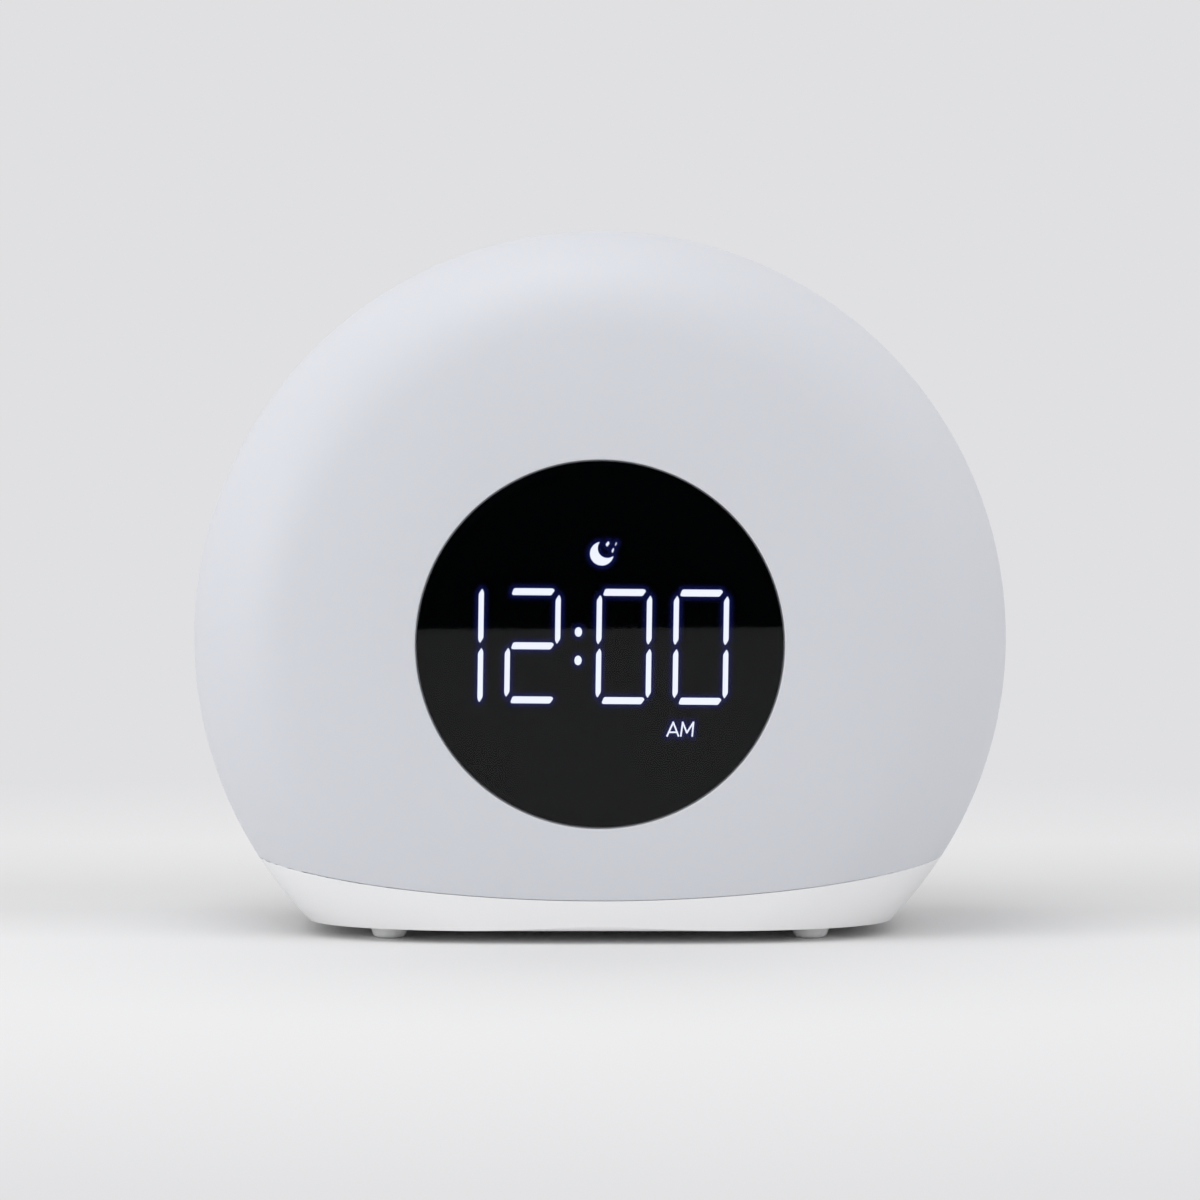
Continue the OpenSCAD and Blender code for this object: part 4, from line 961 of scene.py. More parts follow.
class CLOCK_OT_feet(Maker):
    """Four pale rubber feet with their spigots"""

    bl_idname = "clock.feet"
    bl_label = "Feet"

    def execute(self, context):
        rubber = moulded("foot_rubber", (0.86, 0.86, 0.86), 0.3, cloud=0.03, grain=900,
                         Subsurface_Weight=0.5, Subsurface_Radius=(1, 1, 1),
                         Subsurface_Scale=2 * MM)
        spigot, root, top = 1.9, 2.69, 4.3
        for node in FEET:
            foot = wire((0, 0.01), (3.3, 0.01, 0.9), (4.0, 1.9, 0.8), (4.2, root),
                        (spigot, root), (spigot, top, 0.4), (0, top))
            dress(piece_from(foot.lathe(foot_stand(node), 64), "rubber_" + node), rubber,
                  "clock", "foot_rubber", node)
        return {"FINISHED"}


def cross(reach, width):
    """Closed outline of a cross in millimetres, round its middle."""
    r, w = reach / 2, width / 2
    return wire((-r, -w), (-w, -w), (-w, -r), (w, -r), (w, -w), (r, -w), (r, w), (w, w),
                (w, r), (-w, r), (-w, w), (-r, w)).close()


def turned(angle):
    """Turn about the axis that a prism runs along."""
    return Matrix.Rotation(angle, 4, "Y")


def minus_mark(at, depths):
    """A bar"""
    return plate(3, 0.6, 0.15).prism(*depths, at)


def plus_mark(at, depths):
    """Two crossed bars"""
    return cross(3, 0.6).prism(*depths, at)


def light_mark(at, depths, count=8):
    """A disc with rays round it"""
    rays = [wire((-0.22, 1.2), (0.22, 1.2), (0.14, 1.9), (-0.14, 1.9)).close().prism(
        *depths, at @ turned(math.tau * k / count)) for k in range(count)]
    return gather(pill(1.62, 1.6).prism(*depths, at), *rays)


def time_mark(at, depths):
    """A ring with two hands"""
    start, end = depths
    inner, outer = 1.5 * MM, 1.85 * MM
    ring = Drawing(inner, start).line(outer, start).line(outer, end).line(inner, end).close()
    hands = wire((-0.2, -0.2, 0.08), (0.95, -0.2, 0.08), (0.95, 0.18, 0.08), (0.2, 0.18),
                 (0.2, 1.2, 0.08), (-0.2, 1.2, 0.08)).close()
    return gather(ring.lathe(at, 48), hands.prism(start, end, at))


def alarm_mark(at, depths):
    """A bell with its clapper"""
    bell = wire((-1.75, -0.95, 0.1), (1.75, -0.95, 0.1), (1.15, -0.3, 0.3), (1.0, 0.9, 0.6),
                (0.3, 1.5, 0.2), (0, 1.85, 0.15), (-0.3, 1.5, 0.2), (-1.0, 0.9, 0.6),
                (-1.15, -0.3, 0.3)).close()
    clapper = at @ Matrix.Translation((0, 0, -1.45 * MM))
    return gather(bell.prism(*depths, at), pill(1.1, 0.55).prism(*depths, clapper))


MARKS = {"minus": minus_mark, "light": light_mark, "time": time_mark, "alarm": alarm_mark,
         "plus": plus_mark}


class CLOCK_OT_keys(Maker):
    """Five dished keys on the back, each with its raised mark"""

    bl_idname = "clock.keys"
    bl_label = "Keys"

    def execute(self, context):
        keys = context.scene.clock_back
        grey = moulded("grey_key", keys.key_grey, 0.42)
        ink = moulded("mark_ink", keys.mark_grey, 0.5, cloud=0.05)
        stem_r, cap_r, dish_r = 2.5 * MM, 4.5 * MM, 3.3 * MM
        facing = Matrix.Scale(-1, 4, (1, 0, 0))
        for (name, mark), x in zip(MARKS.items(), keys_at(keys)):
            low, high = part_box(name + "_button")
            flange_r, flange_low, flange_high = ((high.x - low.x) / 2, low.y + 1.9 * MM,
                                                 low.y + 3 * MM)
            ball = (dish_r ** 2 + keys.dish ** 2) / (2 * keys.dish)
            drawing = Drawing(0, low.y).line(stem_r, low.y, 0.3 * MM)
            drawing.line(stem_r, flange_low).line(flange_r, flange_low, 0.2 * MM)
            drawing.line(flange_r, flange_high, 0.2 * MM).line(cap_r, flange_high, 0.15 * MM)
            drawing.line(cap_r, high.y, 0.6 * MM).line(dish_r, high.y)
            drawing.arc(0, high.y - keys.dish + ball, -math.asin(dish_r / ball), 8)
            dress(piece_from(drawing.lathe(along_y(x, keys.row), 96), name + "_key_cap"),
                  grey, name + "_key", "grey_key", name + "_button")
            raised = mark(along_y(x, keys.row) @ facing, (high.y - 0.6 * MM, high.y - 0.08 * MM))
            bmesh.ops.recalc_face_normals(raised, faces=raised.faces)
            dress(piece_from(raised, name + "_key_mark"), ink, name + "_key", "black_plastic")
        return {"FINISHED"}


class CLOCK_OT_knob(Maker):
    """Grooved knob of the alarm switch, with its cover plate and stem"""

    bl_idname = "clock.knob"
    bl_label = "Knob"

    def execute(self, context):
        keys = context.scene.clock_back
        low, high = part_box("alarm_knob")
        at = along_y((low.x + high.x) / 2, keys.slide)
        cover, corner = low.y + 4.7 * MM, 0.5 * MM
        knob = piece_from(plate(4, 4, 0.7).prism(cover + corner, high.y - corner, at,
                                                 round_edge(corner)), "alarm_slide_knob")
        grooves = [plate(0.45, 6, 0.1).prism(high.y - 0.45 * MM, high.y + 1 * MM,
                                             at @ along_y(x * MM, 0)) for x in (-0.9, 0, 0.9)]
        combine(knob, gather(*grooves))
        wide, tall = (high.x - low.x) / MM, (high.z - low.z) / MM
        combine(knob, plate(wide, tall, 0.8).prism(cover, cover + 0.8 * MM, at,
                                                   round_edge(0.2 * MM)), "UNION")
        combine(knob, plate(2, 2, 0.2).prism(low.y, cover + 0.3 * MM, at), "UNION")
        dress(knob, moulded("knob_grey", keys.key_grey, 0.42), "alarm_slide",
              "grey_key", "alarm_knob")
        return {"FINISHED"}


def screw_drawing(long, fine=1.0):
    """Half outline of a self-tapping screw: v runs from the tip to the head, and is 0
    at the seat. Millimetres."""
    shank, core, neck, head = 1.45, 1.12, 1.3, 2.7
    point, first_turn, plain, rim, rise = 1.4, 1.6, 3.2, 0.75, 1.05
    drawing = wire((0, -long), (0.5, -long + 0.3, 0.15), (core, -long + point))
    for k in range(int((long - plain) / fine)):
        start = -long + first_turn + k * fine
        for radius, ahead in ((core, 0), (shank, 0.38), (shank, 0.5), (core, 0.84)):
            drawing.line(radius * MM, (start + ahead) * MM)
    drawing.line(neck * MM, -neck * MM).line(neck * MM, 0).line(head * MM, 0, 0.12 * MM)
    ball = (head ** 2 + rise ** 2) / (2 * rise)
    return drawing.line(head * MM, rim * MM).arc(0, (rim + rise - ball) * MM,
                                                 math.asin(head / ball), 8)


class CLOCK_OT_screws(Maker):
    """The eight screws that are seen from outside, with cross recesses"""

    bl_idname = "clock.screws"
    bl_label = "Screws"

    def execute(self, context):
        steel = metal("screw_steel", (0.42, 0.42, 0.43), 0.3)
        down, gap, recess_floor = Matrix.Rotation(-math.pi / 2, 4, "X"), 0.1 * MM, 0.8 * MM
        rows = (("shell_screws", 19, [Matrix.Translation((x, CLAMP_SEAT + gap, z))
                                      for x, z in clamp_places()]),
                ("base_screws", 12, [Matrix.Translation((x, y, BASE_SEAT - gap)) @ down
                                     for x, y in base_screw_places()]))
        for node, long, seats in rows:
            made = piece_from(gather(*[screw_drawing(long).lathe(seat, 40) for seat in seats]),
                              "steel_" + node)
            combine(made, gather(*[cross(3.35, 0.8).prism(recess_floor, OUTSIDE, seat)
                                   for seat in seats]))
            dress(made, steel, "clock", "screw_steel", node)
        for node in ("display_screws", "board_screws", "speaker_screws"):
            set_material(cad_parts[node], steel)
        return {"FINISHED"}


class CLOCK_OT_socket(Maker):
    """Power socket with its round nose and centre pin"""

    bl_idname = "clock.socket"
    bl_label = "Power socket"

    def execute(self, context):
        keys = context.scene.clock_back
        low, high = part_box("power_socket")
        at, block_end, corner = along_y(0, keys.socket), 39.4 * MM, 0.3 * MM
        block = piece_from(plate(9, 10.5, 0.6).prism(low.y, block_end - corner, at,
                                                     round_edge(corner)), "socket_block")
        nose_r, nose_start, bore_r, mouth_r = 4 * MM, low.y + 5 * MM, 3 * MM, 3.3 * MM
        nose = Drawing(0, nose_start).line(nose_r, nose_start)
        nose.line(nose_r, high.y, 0.35 * MM).line(0, high.y)
        combine(block, nose.lathe(at, 72), "UNION")
        hole_r, bore_end, before, beyond = (1.57 * MM, high.y - 9.5 * MM, high.y + 2 * MM,
                                            low.y - 1 * MM)
        bore = Drawing(0, before).line(mouth_r, before).line(mouth_r, high.y)
        bore.arc(mouth_r, high.y - corner, math.pi / 2, 4).line(bore_r, bore_end)
        bore.line(hole_r, bore_end).line(hole_r, beyond).line(0, beyond)
        combine(block, bore.lathe(at, 72))
        dress(block, moulded("socket_black", (0.012, 0.012, 0.013), 0.45), "clock",
              "black_plastic", "power_socket")
        pin_low, pin_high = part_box("socket_pin")
        root_r, pin_r = 1.55 * MM, 1.05 * MM
        pin = Drawing(0, pin_low.y).line(root_r, pin_low.y, 0.15 * MM)
        pin.line(root_r, bore_end, 0.15 * MM).line(pin_r, bore_end, 0.1 * MM)
        pin.line(pin_r, pin_high.y, 0.5 * MM).line(0, pin_high.y)
        dress(piece_from(pin.lathe(at, 40), "socket_centre_pin"),
              metal("plated_pin", (0.78, 0.77, 0.73), 0.22), "clock", "plated_contact",
              "socket_pin")
        return {"FINISHED"}


def cell_drawing(radius, half):
    """Half outline of a cell: v runs from the flat end to the button."""
    drawing = Drawing(0, -half)
    for u, v, rounding in (
            (radius * 0.72, -half, 0.1), (radius * 0.76, -half + 0.25 * MM, 0),
            (radius, -half + 0.25 * MM, 0.5), (radius, half - 3.4 * MM, 0.25),
            (radius - 0.35 * MM, half - 3.0 * MM, 0.25), (radius, half - 2.5 * MM, 0.25),
            (radius, half - 1 * MM, 0.5), (radius * 0.8, half - 1 * MM, 0.15),
            (radius * 0.76, half - 1.25 * MM, 0.1), (2.3 * MM, half - 1.15 * MM, 0.2),
            (1.9 * MM, half - 0.8 * MM, 0.2), (1.75 * MM, half, 0.3), (0, half, 0)):
        drawing.line(u, v, rounding * MM)
    return drawing


class CLOCK_OT_cells(Maker):
    """Two backup cells, head to tail, and the leaf contacts at their ends"""

    bl_idname = "clock.cells"
    bl_label = "Backup cells"

    def execute(self, context):
        low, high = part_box("backup_cells")
        bay_y, cell_z = (low.y + high.y) / 2, (low.z + high.z) / 2
        radius, half = (high.z - low.z) / 2, high.x
        offset = (high.y - low.y) / 2 - radius
        bodies = [cell_drawing(radius, half).lathe(along_x(bay_y + way * offset, cell_z, way), 72)
                  for way in (-1, 1)]
        sleeve = cell_jacket("cell_jacket", (0.02, 0.13, 0.16), (0.62, 0.60, 0.5), bay_y, half)
        dress(piece_from(gather(*bodies), "rechargeable_cells"), sleeve, "clock",
              "cell_jacket", "backup_cells")

        reach, room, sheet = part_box("cell_contacts")[1].x, 2.45 * MM, 0.4 * MM
        tip, bump_foot, coil_foot = reach - room, reach - 0.45 * MM, reach - 0.7 * MM
        parts = []
        for way, plates in ((1, ((0, 17),)), (-1, ((-offset, 7), (offset, 7)))):
            for y, wide in plates:
                parts.append(plate(wide, 6, 0.6).prism(way * (reach - sheet), way * reach,
                                                       along_x(bay_y + y, cell_z, 1)))
            bump = Drawing(0, tip).line(0.9 * MM, tip, 0.5 * MM)
            bump.line(1.8 * MM, bump_foot).line(0, bump_foot)
            parts.append(bump.lathe(along_x(bay_y + way * offset, cell_z, way), 32))
            parts.append(coil(Matrix.Translation((way * coil_foot, bay_y - way * offset, cell_z)),
                              -way, room - 1 * MM))
        dress(piece_from(gather(*parts), "leaf_contacts"),
              metal("plated_contact", (0.72, 0.71, 0.68), 0.3), "clock", "plated_contact",
              "cell_contacts")
        return {"FINISHED"}


def coil(at, way, rise, radius=2.4 * MM, thick=0.25 * MM, turns=2.5):
    """Flat helical spring along X."""
    mesh = bmesh.new()
    bmesh.ops.create_circle(mesh, segments=8, radius=thick,
                            matrix=Matrix.Translation((0, radius, 0)), cap_ends=True)
    steps = int(24 * turns)
    bmesh.ops.spin(mesh, geom=mesh.verts[:] + mesh.edges[:] + mesh.faces[:],
                   cent=(0, 0, 0), axis=(1, 0, 0), dvec=(way * rise / steps, 0, 0),
                   angle=math.tau * turns, steps=steps)
    bmesh.ops.remove_doubles(mesh, verts=mesh.verts, dist=JOIN)
    bmesh.ops.recalc_face_normals(mesh, faces=mesh.faces)
    bmesh.ops.transform(mesh, matrix=at, verts=mesh.verts)
    return mesh


# The display's marks in millimetres. Segments of a digit: place (across, up) from its
# middle, and whether the segment stands upright
SEGMENTS = {"a": (0, 11.42, False), "b": (5.28, 5.63, True), "c": (5.28, -5.63, True),
            "d": (0, -11.42, False), "e": (-5.28, -5.63, True), "f": (-5.28, 5.63, True),
            "g": (0, 0, False)}
# Digits: place across, lit segments, dark segments
DIGITS = ((-14.22, "abged", "cf"), (5.03, "abcdef", "g"), (21.26, "abcdef", "g"))
FIRST_DIGIT = ((-25.15, 6.25), (-25.15, -6.25))
COLON = ((-4.59, 3.0), (-4.59, -3.0))
# Stars: place across and up from the lens's middle, width, height
STARS = ((1.6, 21.15, 0.85, 1.2), (3.35, 21.15, 0.34, 0.9), (2.7, 19.8, 0.5, 1.15))
LETTER_STROKES = (((14.15, -19.4), (15.45, -16.5)), ((16.55, -19.4), (15.45, -16.5)),
                  ((14.6, -18.6), (16.2, -18.6)), ((17.05, -19.4), (17.45, -16.5)),
                  ((17.45, -16.5), (18.32, -18.7)), ((18.32, -18.7), (19.72, -16.5)),
                  ((19.72, -16.5), (19.45, -19.4)))
DIGIT_LEAN, ROW_SLOPE = 0.014, -0.008
MOON_PLACE, MOON_TURN = (0.39, 19.1), math.radians(-44)
# The part of the housing's face that is cut finely for the glow
GLOW_ACROSS, GLOW_UP, GLOW_RADIUS, GLOW_STEP = (-29, 29), (-22, 25), 33 * MM, 0.42 * MM


def upright(half):
    """Closed outline of an upright segment with slanted ends."""
    return wire((-0.16, -half, 0.12), (0.55, 1.1 - half, 0.3), (0.55, half - 0.7, 0.3),
                (0.16, half, 0.12), (-0.55, half - 1.1, 0.3), (-0.55, 0.7 - half, 0.3)).close()


def level():
    """Closed outline of a level segment with slanted ends."""
    return wire((-4.5, -0.45, 0.15), (-4.3, -0.73, 0.25), (3.8, -0.73, 0.25),
                (4.5, 0.28, 0.15), (4.2, 0.73, 0.3), (-4.05, 0.73, 0.3)).close()


def segment(name):
    """Closed outline of a segment."""
    return upright(5.19) if SEGMENTS[name][2] else level()


def moon(radius=2.5, cut=1.65, tip=math.radians(55)):
    """Closed outline of a crescent that opens along +u."""
    u, v = radius * math.cos(tip) * MM, radius * math.sin(tip) * MM
    inner = math.pi - math.atan2(v, cut * MM - u)
    drawing = Drawing(u, -v, 0.2 * MM).arc(0, 0, 2 * tip - math.tau, 40)
    drawing.corners.append((drawing.tip, 0.2 * MM))
    return drawing.arc(cut * MM, 0, 2 * (math.pi - inner), 24).close()


def stroke(start, end, width=0.34):
    """Closed outline of a straight pen stroke in millimetres, a little longer than its
    ends are apart."""
    run = Vector(end) - Vector(start)
    ahead = run.normalized() * 0.12
    side = Vector((-run.y, run.x)).normalized() * width / 2
    a, b = Vector(start) - ahead, Vector(end) + ahead
    return wire(*[tuple(p) for p in (a - side, b - side, b + side, a + side)]).close()


def row_at(x, z, row):
    """Placing on the digits' row, which leans and slopes a little."""
    slant = Matrix(((1, 0, DIGIT_LEAN, 0), (0, 1, 0, 0), (ROW_SLOPE, 0, 1, 0), (0, 0, 0, 1)))
    return along_y(0, CENTRE_Z + row * MM) @ slant @ along_y(x * MM, z * MM)


def lit_shapes(display, front, back, icon_back):
    """What shines: the digits, the colon, the moon with its stars, and the letters."""
    row, shapes = -display.drop / MM, []
    for x, z in FIRST_DIGIT:
        shapes.append(upright(5.74).prism(back, front, row_at(x, z, row)))
    for x, lit, _ in DIGITS:
        for name in lit:
            across, up, _ = SEGMENTS[name]
            shapes.append(segment(name).prism(back, front, row_at(x + across, up, row)))
    for x, z in COLON:
        oval = row_at(x, z, row) @ Matrix.Diagonal((0.76, 1, 1, 1))
        shapes.append(Drawing(1 * MM, 0).arc(0, 0, math.tau, 32).close().prism(back, front, oval))
    x, z = MOON_PLACE
    mark = along_y(x * MM, CENTRE_Z + z * MM) @ turned(MOON_TURN)
    shapes.append(moon().prism(icon_back, front, mark))
    for x, z, wide, tall in STARS:
        star = wire((-wide / 2, -0.1, 0.08), (-0.1, -tall / 2, 0.1), (wide / 2, 0.1, 0.08),
                    (0.16, tall / 2, 0.1)).close()
        shapes.append(star.prism(icon_back, front, along_y(x * MM, CENTRE_Z + z * MM)))
    for start, end in LETTER_STROKES:
        shapes.append(stroke(start, end).prism(icon_back, front, along_y(0, CENTRE_Z)))
    return gather(*shapes)


def unlit_shapes(display, front, back):
    """Light guides of the segments that stay dark, behind the housing's front."""
    row, shapes = -display.drop / MM, []
    for x, _, dark in DIGITS:
        for name in dark:
            across, up, _ = SEGMENTS[name]
            shapes.append(segment(name).prism(back, front, row_at(x + across, up, row)))
    return gather(*shapes)


def add_glow(piece, front, spread):
    """Cuts the housing's face finely round the lit shapes, and gives its corners the
    share of light that spills from the nearest lit edge."""
    mesh, slack = bmesh.new(), 0.05 * MM
    mesh.from_mesh(piece.data)
    for axis, (low, high) in ((0, GLOW_ACROSS), (2, GLOW_UP)):
        normal = Vector((0, 0, 0))
        normal[axis] = 1
        for k in range(int((high - low) * MM / GLOW_STEP) + 1):
            cut = Vector((0, 0, CENTRE_Z))
            cut[axis] += low * MM + k * GLOW_STEP
            faces = [face for face in mesh.faces if face.normal.y < -SKIN_MATCH
                     and face.calc_center_median().y < front + slack]
            parts = {part for face in faces for part in (*face.verts, *face.edges, face)}
            bmesh.ops.bisect_plane(mesh, geom=list(parts), dist=JOIN, plane_co=cut,
                                   plane_no=normal)
    places = []
    for edge in mesh.edges:
        a, b = (vert.co for vert in edge.verts)
        walls = any(abs(face.normal.y) < 0.5 for face in edge.link_faces)
        if (walls and max(a.y, b.y) < front + slack / 5
                and math.hypot(a.x, a.z - CENTRE_Z) < GLOW_RADIUS):
            places += [a.lerp(b, k / 4) for k in range(5)]
    tree = KDTree(len(places))
    for index, place in enumerate(places):
        tree.insert(place, index)
    tree.balance()
    mesh.to_mesh(piece.data)
    mesh.free()
    glow = piece.data.attributes.new("glow", "FLOAT", "POINT")
    for vert, share in zip(piece.data.vertices, glow.data):
        if vert.co.y < front + slack:
            share.value = math.exp(-(tree.find(vert.co)[2] / spread) ** 2)


class CLOCK_OT_display(Maker):
    """Smoked lens, the black display behind it and its lit digits and marks"""

    bl_idname = "clock.display"
    bl_label = "Display"

    def execute(self, context):
        display = context.scene.clock_display
        low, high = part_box("display_housing")
        front, back, icon_back = low.y, high.y, low.y + 1.5 * MM
        face, seat, radius = LENS_LOW.y, LENS_HIGH.y, LENS_HIGH.x
        rim = radius - 0.3 * MM   # keeps the faces' shading flat up to the edge
        drawing = Drawing(0, face).line(rim, face).line(radius, face, 0.1 * MM)
        drawing.line(radius, seat, 0.1 * MM).line(rim, seat).line(0, seat)
        lens = drawing.lathe(along_y(0, CENTRE_Z))
        smoked = Finish("smoked_lens").surface(Base_Color=(0.0008, 0.0013, 0.0018),
                                               Roughness=0.015, Specular_IOR_Level=0.35,
                                               Alpha=display.lens_density)
        dress(piece_from(lens, "smoked_lens_disc"), smoked, "clock", "smoked_lens",
              "display_lens")

        print_in, print_out, tape_in, tape_out = 33.5, 38.6, 35.65, 38.4
        tape = wire((print_in, -40.19), (print_out, -40.19), (print_out, -40.15),
                    (tape_out, -40.15), (tape_out, -39.9), (tape_in, -39.9),
                    (tape_in, -40.13), (print_in, -40.13)).close()
        dress(piece_from(tape.lathe(along_y(0, CENTRE_Z), 192), "lens_border_and_tape"),
              moulded("border_black", display.black, 0.6, depth=0, Specular_IOR_Level=0.0),
              "clock", "black_foam", "lens_tape")

        lit = clean_union(lit_shapes(display, front, back, icon_back), "lit_marks")
        guides = Finish("lit_marks")
        bright = guides.between(guides.noise(240, 3), tuple(c * 0.97 for c in display.lit),
                                display.lit)
        guides.surface(Base_Color=(0.5, 0.5, 0.5), Emission_Color=bright,
                       Emission_Strength=display.brightness)
        dress(lit, guides.material, "clock", "lit_mark", "lit_segments")
        skin = 0.05 * MM
        dress(piece_from(unlit_shapes(display, front + skin, back), "dark_light_guides"),
              moulded("unlit_guides", (0.12, 0.12, 0.125), 0.5), "clock", "unlit_mark",
              "unlit_segments")

        drawing = Drawing(0, back).line(high.x, back, 0.2 * MM).line(high.x, front, 0.2 * MM)
        housing = piece_from(drawing.line(0, front).lathe(along_y(0, CENTRE_Z), 128),
                             "display_face")
        slots = clean_union(lit_shapes(display, front - 1 * MM, back + 1 * MM, icon_back),
                            "slots")
        combine(housing, mesh_of(slots))
        combine(housing, unlit_shapes(display, front + skin, back + 1 * MM))
        add_glow(housing, front, display.glow_spread)
        black = Finish("display_black")
        shift = black.noise(CLOUD_SCALE, CLOUD_DETAIL)
        spill = black.node("Attribute", {}, attribute_name="glow").outputs["Fac"]
        black.surface(Base_Color=black.between(shift, tuple(c * 0.9 for c in display.black),
                                               display.black),
                      Roughness=black.spread(shift, 0.55, 0.62), Specular_IOR_Level=0.0,
                      Emission_Color=display.glow,
                      Emission_Strength=black.math("MULTIPLY", spill, display.glow_strength))
        dress(housing, black.material, "clock", "black_plastic", "display_housing")
        return {"FINISHED"}


def clean_union(mesh, name):
    """Piece with the overlapping parts of the mesh joined, by a cut that meets nothing."""
    far_off = plate(1, 1, 0.1).prism(200 * MM, 201 * MM)
    return combine(piece_from(mesh, name), far_off, overlap=True)


class CLOCK_OT_inside(Maker):
    """Finishes of the parts inside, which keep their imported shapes"""

    bl_idname = "clock.inside"
    bl_label = "Inner parts"

    def execute(self, context):
        green, copper = (0.012, 0.085, 0.035), (0.75, 0.52, 0.22)
        finishes = {
            circuit_board("circuit_board", green, copper):
                ("display_board", "main_board", "button_board"),
            circuit_board("white_board", (0.62, 0.63, 0.62), (0.7, 0.7, 0.66)):
                ("light_board",),
            moulded("holder_black", (0.014, 0.014, 0.016), 0.5, cloud=0.08):
                ("display_holder",),
            ribbon("grey_ribbon"): ("display_ribbon", "button_ribbon"),
            moulded("reflector_white", (0.83, 0.83, 0.82), 0.5, cloud=0.02):
                ("reflector",),
            phosphor("led_phosphor"): ("night_leds",),
            insulated("lead_yellow", (0.62, 0.42, 0.03)): ("light_leads",),
            insulated("lead_red", (0.38, 0.018, 0.015)): ("speaker_leads", "battery_leads"),
            insulated("lead_black", (0.014, 0.014, 0.015)): ("power_leads",),
            moulded("chip_black", (0.02, 0.02, 0.021), 0.62, cloud=0.2, grain=1800,
                    depth=0.02 * MM):
                ("control_chip", "switch_bodies", "alarm_switch_body",
                 *(name + "_plunger" for name in MARKS)),
            mixed_parts("board_parts"): ("board_parts",),
            metal("painted_steel", (0.09, 0.09, 0.095), 0.42):
                ("speaker_basket", "speaker_magnet"),
            cone_paper("speaker_paper"): ("speaker_cone",),
            foam("black_foam", (0.03, 0.03, 0.031)): ("speaker_gasket",),
            moulded("clamp_white", context.scene.clock_body.white, 0.45):
                ("speaker_clamp",),
        }
        for material, nodes in finishes.items():
            for node in nodes:
                set_material(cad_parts[node], material)
        return {"FINISHED"}


def phosphor(name):
    """White package of a lamp that is off, with the yellow phosphor in its middle."""
    finish = Finish(name)
    speck = finish.noise(1600, 3)
    return finish.surface(
        Base_Color=finish.between(speck, (0.66, 0.50, 0.12), (0.80, 0.66, 0.26)),
        Roughness=0.35, Subsurface_Weight=0.2, Subsurface_Radius=(1, 0.8, 0.3),
        Subsurface_Scale=1 * MM, Normal=finish.relief(speck, 0.02 * MM))


def panel(name, size, turn, material):
    """Flat square that belongs to the studio."""
    mesh = bmesh.new()
    bmesh.ops.create_grid(mesh, x_segments=1, y_segments=1, size=size)
    bmesh.ops.transform(mesh, matrix=turn, verts=mesh.verts)
    made = set_material(piece_from(mesh, name), material)
    return made


class CLOCK_OT_studio(Maker):
    """Pale floor, soft light and the camera"""

    bl_idname = "clock.studio"
    bl_label = "Studio"

    def execute(self, context):
        studio, scene = context.scene.clock_studio, context.scene
        scene.view_settings.view_transform = "Standard"
        half_floor = 6
        panel("floor", half_floor, Matrix.Identity(4), floor_paper(studio))
        # Card behind the camera that the lens mirrors; its lower edge lies across the digits
        half_card, card_place, card_lean = 2, (0, -1.3, 2.0011), math.radians(-0.33)
        card = panel("dark_card", half_card, Matrix.Translation(card_place)
                     @ turned(card_lean) @ Matrix.Rotation(math.pi / 2, 4, "X"),
                     Finish("dark_card").surface(Base_Color=(0, 0, 0), Roughness=1.0,
                                                 Specular_IOR_Level=0.0))
        card.visible_camera = card.visible_diffuse = card.visible_shadow = False
        card.visible_transmission = False
        scene.world = studio_world(studio)
        for name, place, aim, size, power in (
                ("overhead_light", (-0.25, -0.35, 1.6), (0, 0, 0.08), 1.0, studio.overhead),
                ("left_light", (-1.1, -0.8, 0.16), (0, 0, 0.06), 0.9, studio.left),
                ("low_left_light", (-1.0, -0.45, 0.3), (0, 0, 0.06), 0.5, studio.beside),
                ("right_light", (1.1, -0.6, 0.25), (0, 0, 0.06), 0.8, studio.right)):
            lamp = bpy.data.lights.new(name, "AREA")
            lamp.shape, lamp.size, lamp.energy = "SQUARE", size, power
            holder = bpy.data.objects.new(name, lamp)
            holder.location = place
            ahead = Vector(aim) - Vector(place)
            holder.rotation_euler = ahead.to_track_quat("-Z", "Y").to_euler()
            scene.collection.objects.link(holder)

        view = bpy.data.cameras.new("camera")
        view.sensor_width = 36
        view.lens = view.sensor_width * studio.reach
        camera = bpy.data.objects.new("camera", view)
        camera.location = (0, -studio.distance, studio.eye)
        camera.rotation_euler = (math.pi / 2 - studio.pitch, 0, 0)
        scene.collection.objects.link(camera)
        scene.camera = camera
        return {"FINISHED"}


def floor_paper(studio):
    """Pale paper that keeps the clock's shadow and fades into the backdrop. A soft band
    behind the clock has painted shadow, a little darker, and the paper in front has painted
    light, a little lighter."""
    finish, painted_shadow_near, painted_shadow_far = Finish("floor_paper"), (-0.03, 0.03), (0.08, 0.2)
    painted_light_edge, fade_out = (-0.2, -0.06), (0.18, 0.42)
    y = finish.along("Y")
    # Painted shadow: a soft darker band on the floor just behind the clock
    behind = finish.math("MULTIPLY", finish.spread(y, 0.0, 1.0, *painted_shadow_near),
                         finish.spread(y, 1.0, 0.0, *painted_shadow_far))
    # Painted light: the floor in front of the clock is painted a little lighter
    front = finish.spread(y, 1.0, 0.0, *painted_light_edge)
    plain = finish.between(front, studio.floor, studio.floor_painted_light)
    finish.surface(Base_Color=finish.between(behind, plain, studio.floor_painted_shadow),
                   Roughness=0.9, Specular_IOR_Level=0.0)
    span = finish.node("VectorMath", {0: finish.place}, operation="LENGTH").outputs["Value"]
    fade = finish.spread(span, 0.0, 1.0, *fade_out)
    seen = finish.node("LightPath", {}).outputs["Is Camera Ray"]
    glow = finish.node("Emission", {"Color": studio.backdrop}).outputs[0]
    mix = finish.node("MixShader", {0: finish.math("MULTIPLY", fade, seen),
                                    1: finish.shader.outputs[0], 2: glow})
    finish.tree.links.new(mix.outputs[0], finish.tree.nodes["Material Output"].inputs["Surface"])
    return finish.material


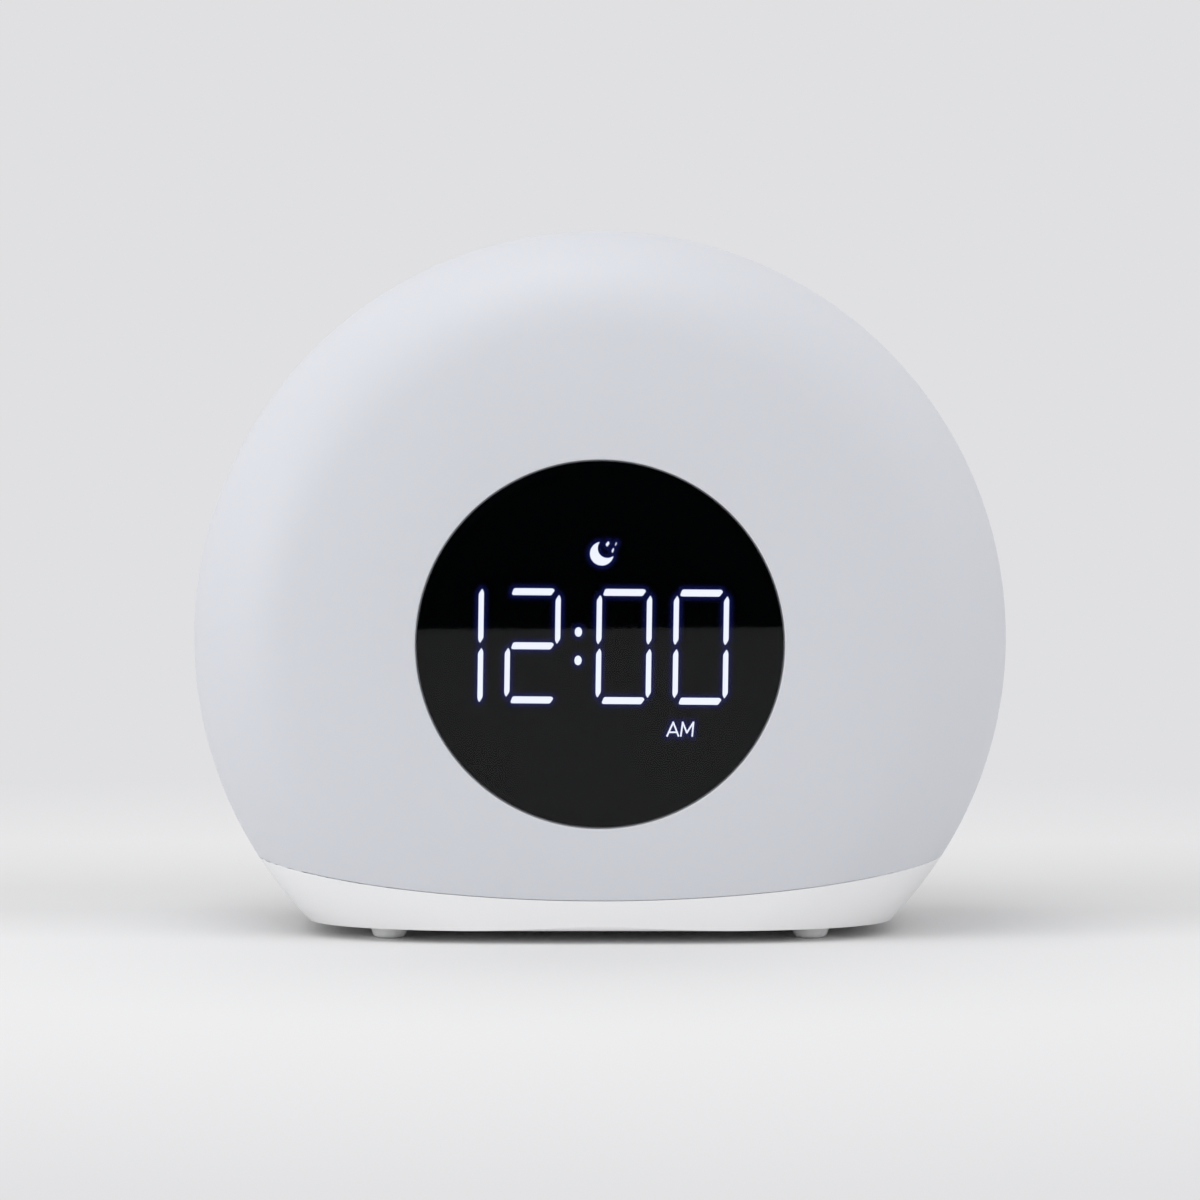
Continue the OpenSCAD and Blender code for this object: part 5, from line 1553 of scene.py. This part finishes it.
def studio_world(studio):
    """Plain backdrop for what is seen, and even grey light for what is lit."""
    world = bpy.data.worlds.new("studio")
    world.use_nodes = True
    nodes, links = world.node_tree.nodes, world.node_tree.links
    light, seen = nodes["Background"], nodes.new("ShaderNodeBackground")
    light.inputs["Color"].default_value = (*studio.sky, 1)
    seen.inputs["Color"].default_value = (*studio.backdrop, 1)
    rays = nodes.new("ShaderNodeLightPath")
    either = rays.outputs["Is Camera Ray"]
    for ray in ("Is Glossy Ray", "Is Transmission Ray"):
        most = nodes.new("ShaderNodeMath")
        most.operation = "MAXIMUM"
        links.new(either, most.inputs[0])
        links.new(rays.outputs[ray], most.inputs[1])
        either = most.outputs[0]
    mix = nodes.new("ShaderNodeMixShader")
    for index, socket in enumerate((either, light.outputs[0], seen.outputs[0])):
        links.new(socket, mix.inputs[index])
    links.new(mix.outputs[0], nodes["World Output"].inputs["Surface"])
    return world


# ------------------------------------------------------------------- add-on

OPERATORS = (CLOCK_OT_front_shell, CLOCK_OT_rear_shell, CLOCK_OT_base, CLOCK_OT_door,
             CLOCK_OT_feet, CLOCK_OT_display, CLOCK_OT_keys, CLOCK_OT_knob, CLOCK_OT_socket,
             CLOCK_OT_cells, CLOCK_OT_screws, CLOCK_OT_inside, CLOCK_OT_studio)


class CLOCK_PT_panel(bpy.types.Panel):
    """Lists what the add-on makes"""

    bl_label = "Night light clock"
    bl_idname = "CLOCK_PT_panel"
    bl_space_type = "VIEW_3D"
    bl_region_type = "UI"
    bl_category = "Clock"

    def draw(self, context):
        for operator in OPERATORS:
            self.layout.operator(operator.bl_idname)


GROUPS = {"clock_body": ClockBody, "clock_display": ClockDisplay, "clock_back": ClockBack,
          "clock_studio": ClockStudio}


def register():
    for kind in (*GROUPS.values(), *OPERATORS, CLOCK_PT_panel):
        bpy.utils.register_class(kind)
    for name, kind in GROUPS.items():
        setattr(bpy.types.Scene, name, PointerProperty(type=kind))


def unregister():
    for name in GROUPS:
        delattr(bpy.types.Scene, name)
    for kind in (CLOCK_PT_panel, *reversed(OPERATORS), *GROUPS.values()):
        bpy.utils.unregister_class(kind)


def main():
    register()
    for operator in OPERATORS:
        group, name = operator.bl_idname.split(".")
        getattr(getattr(bpy.ops, group), name)()


if __name__ == "__main__":
    main()
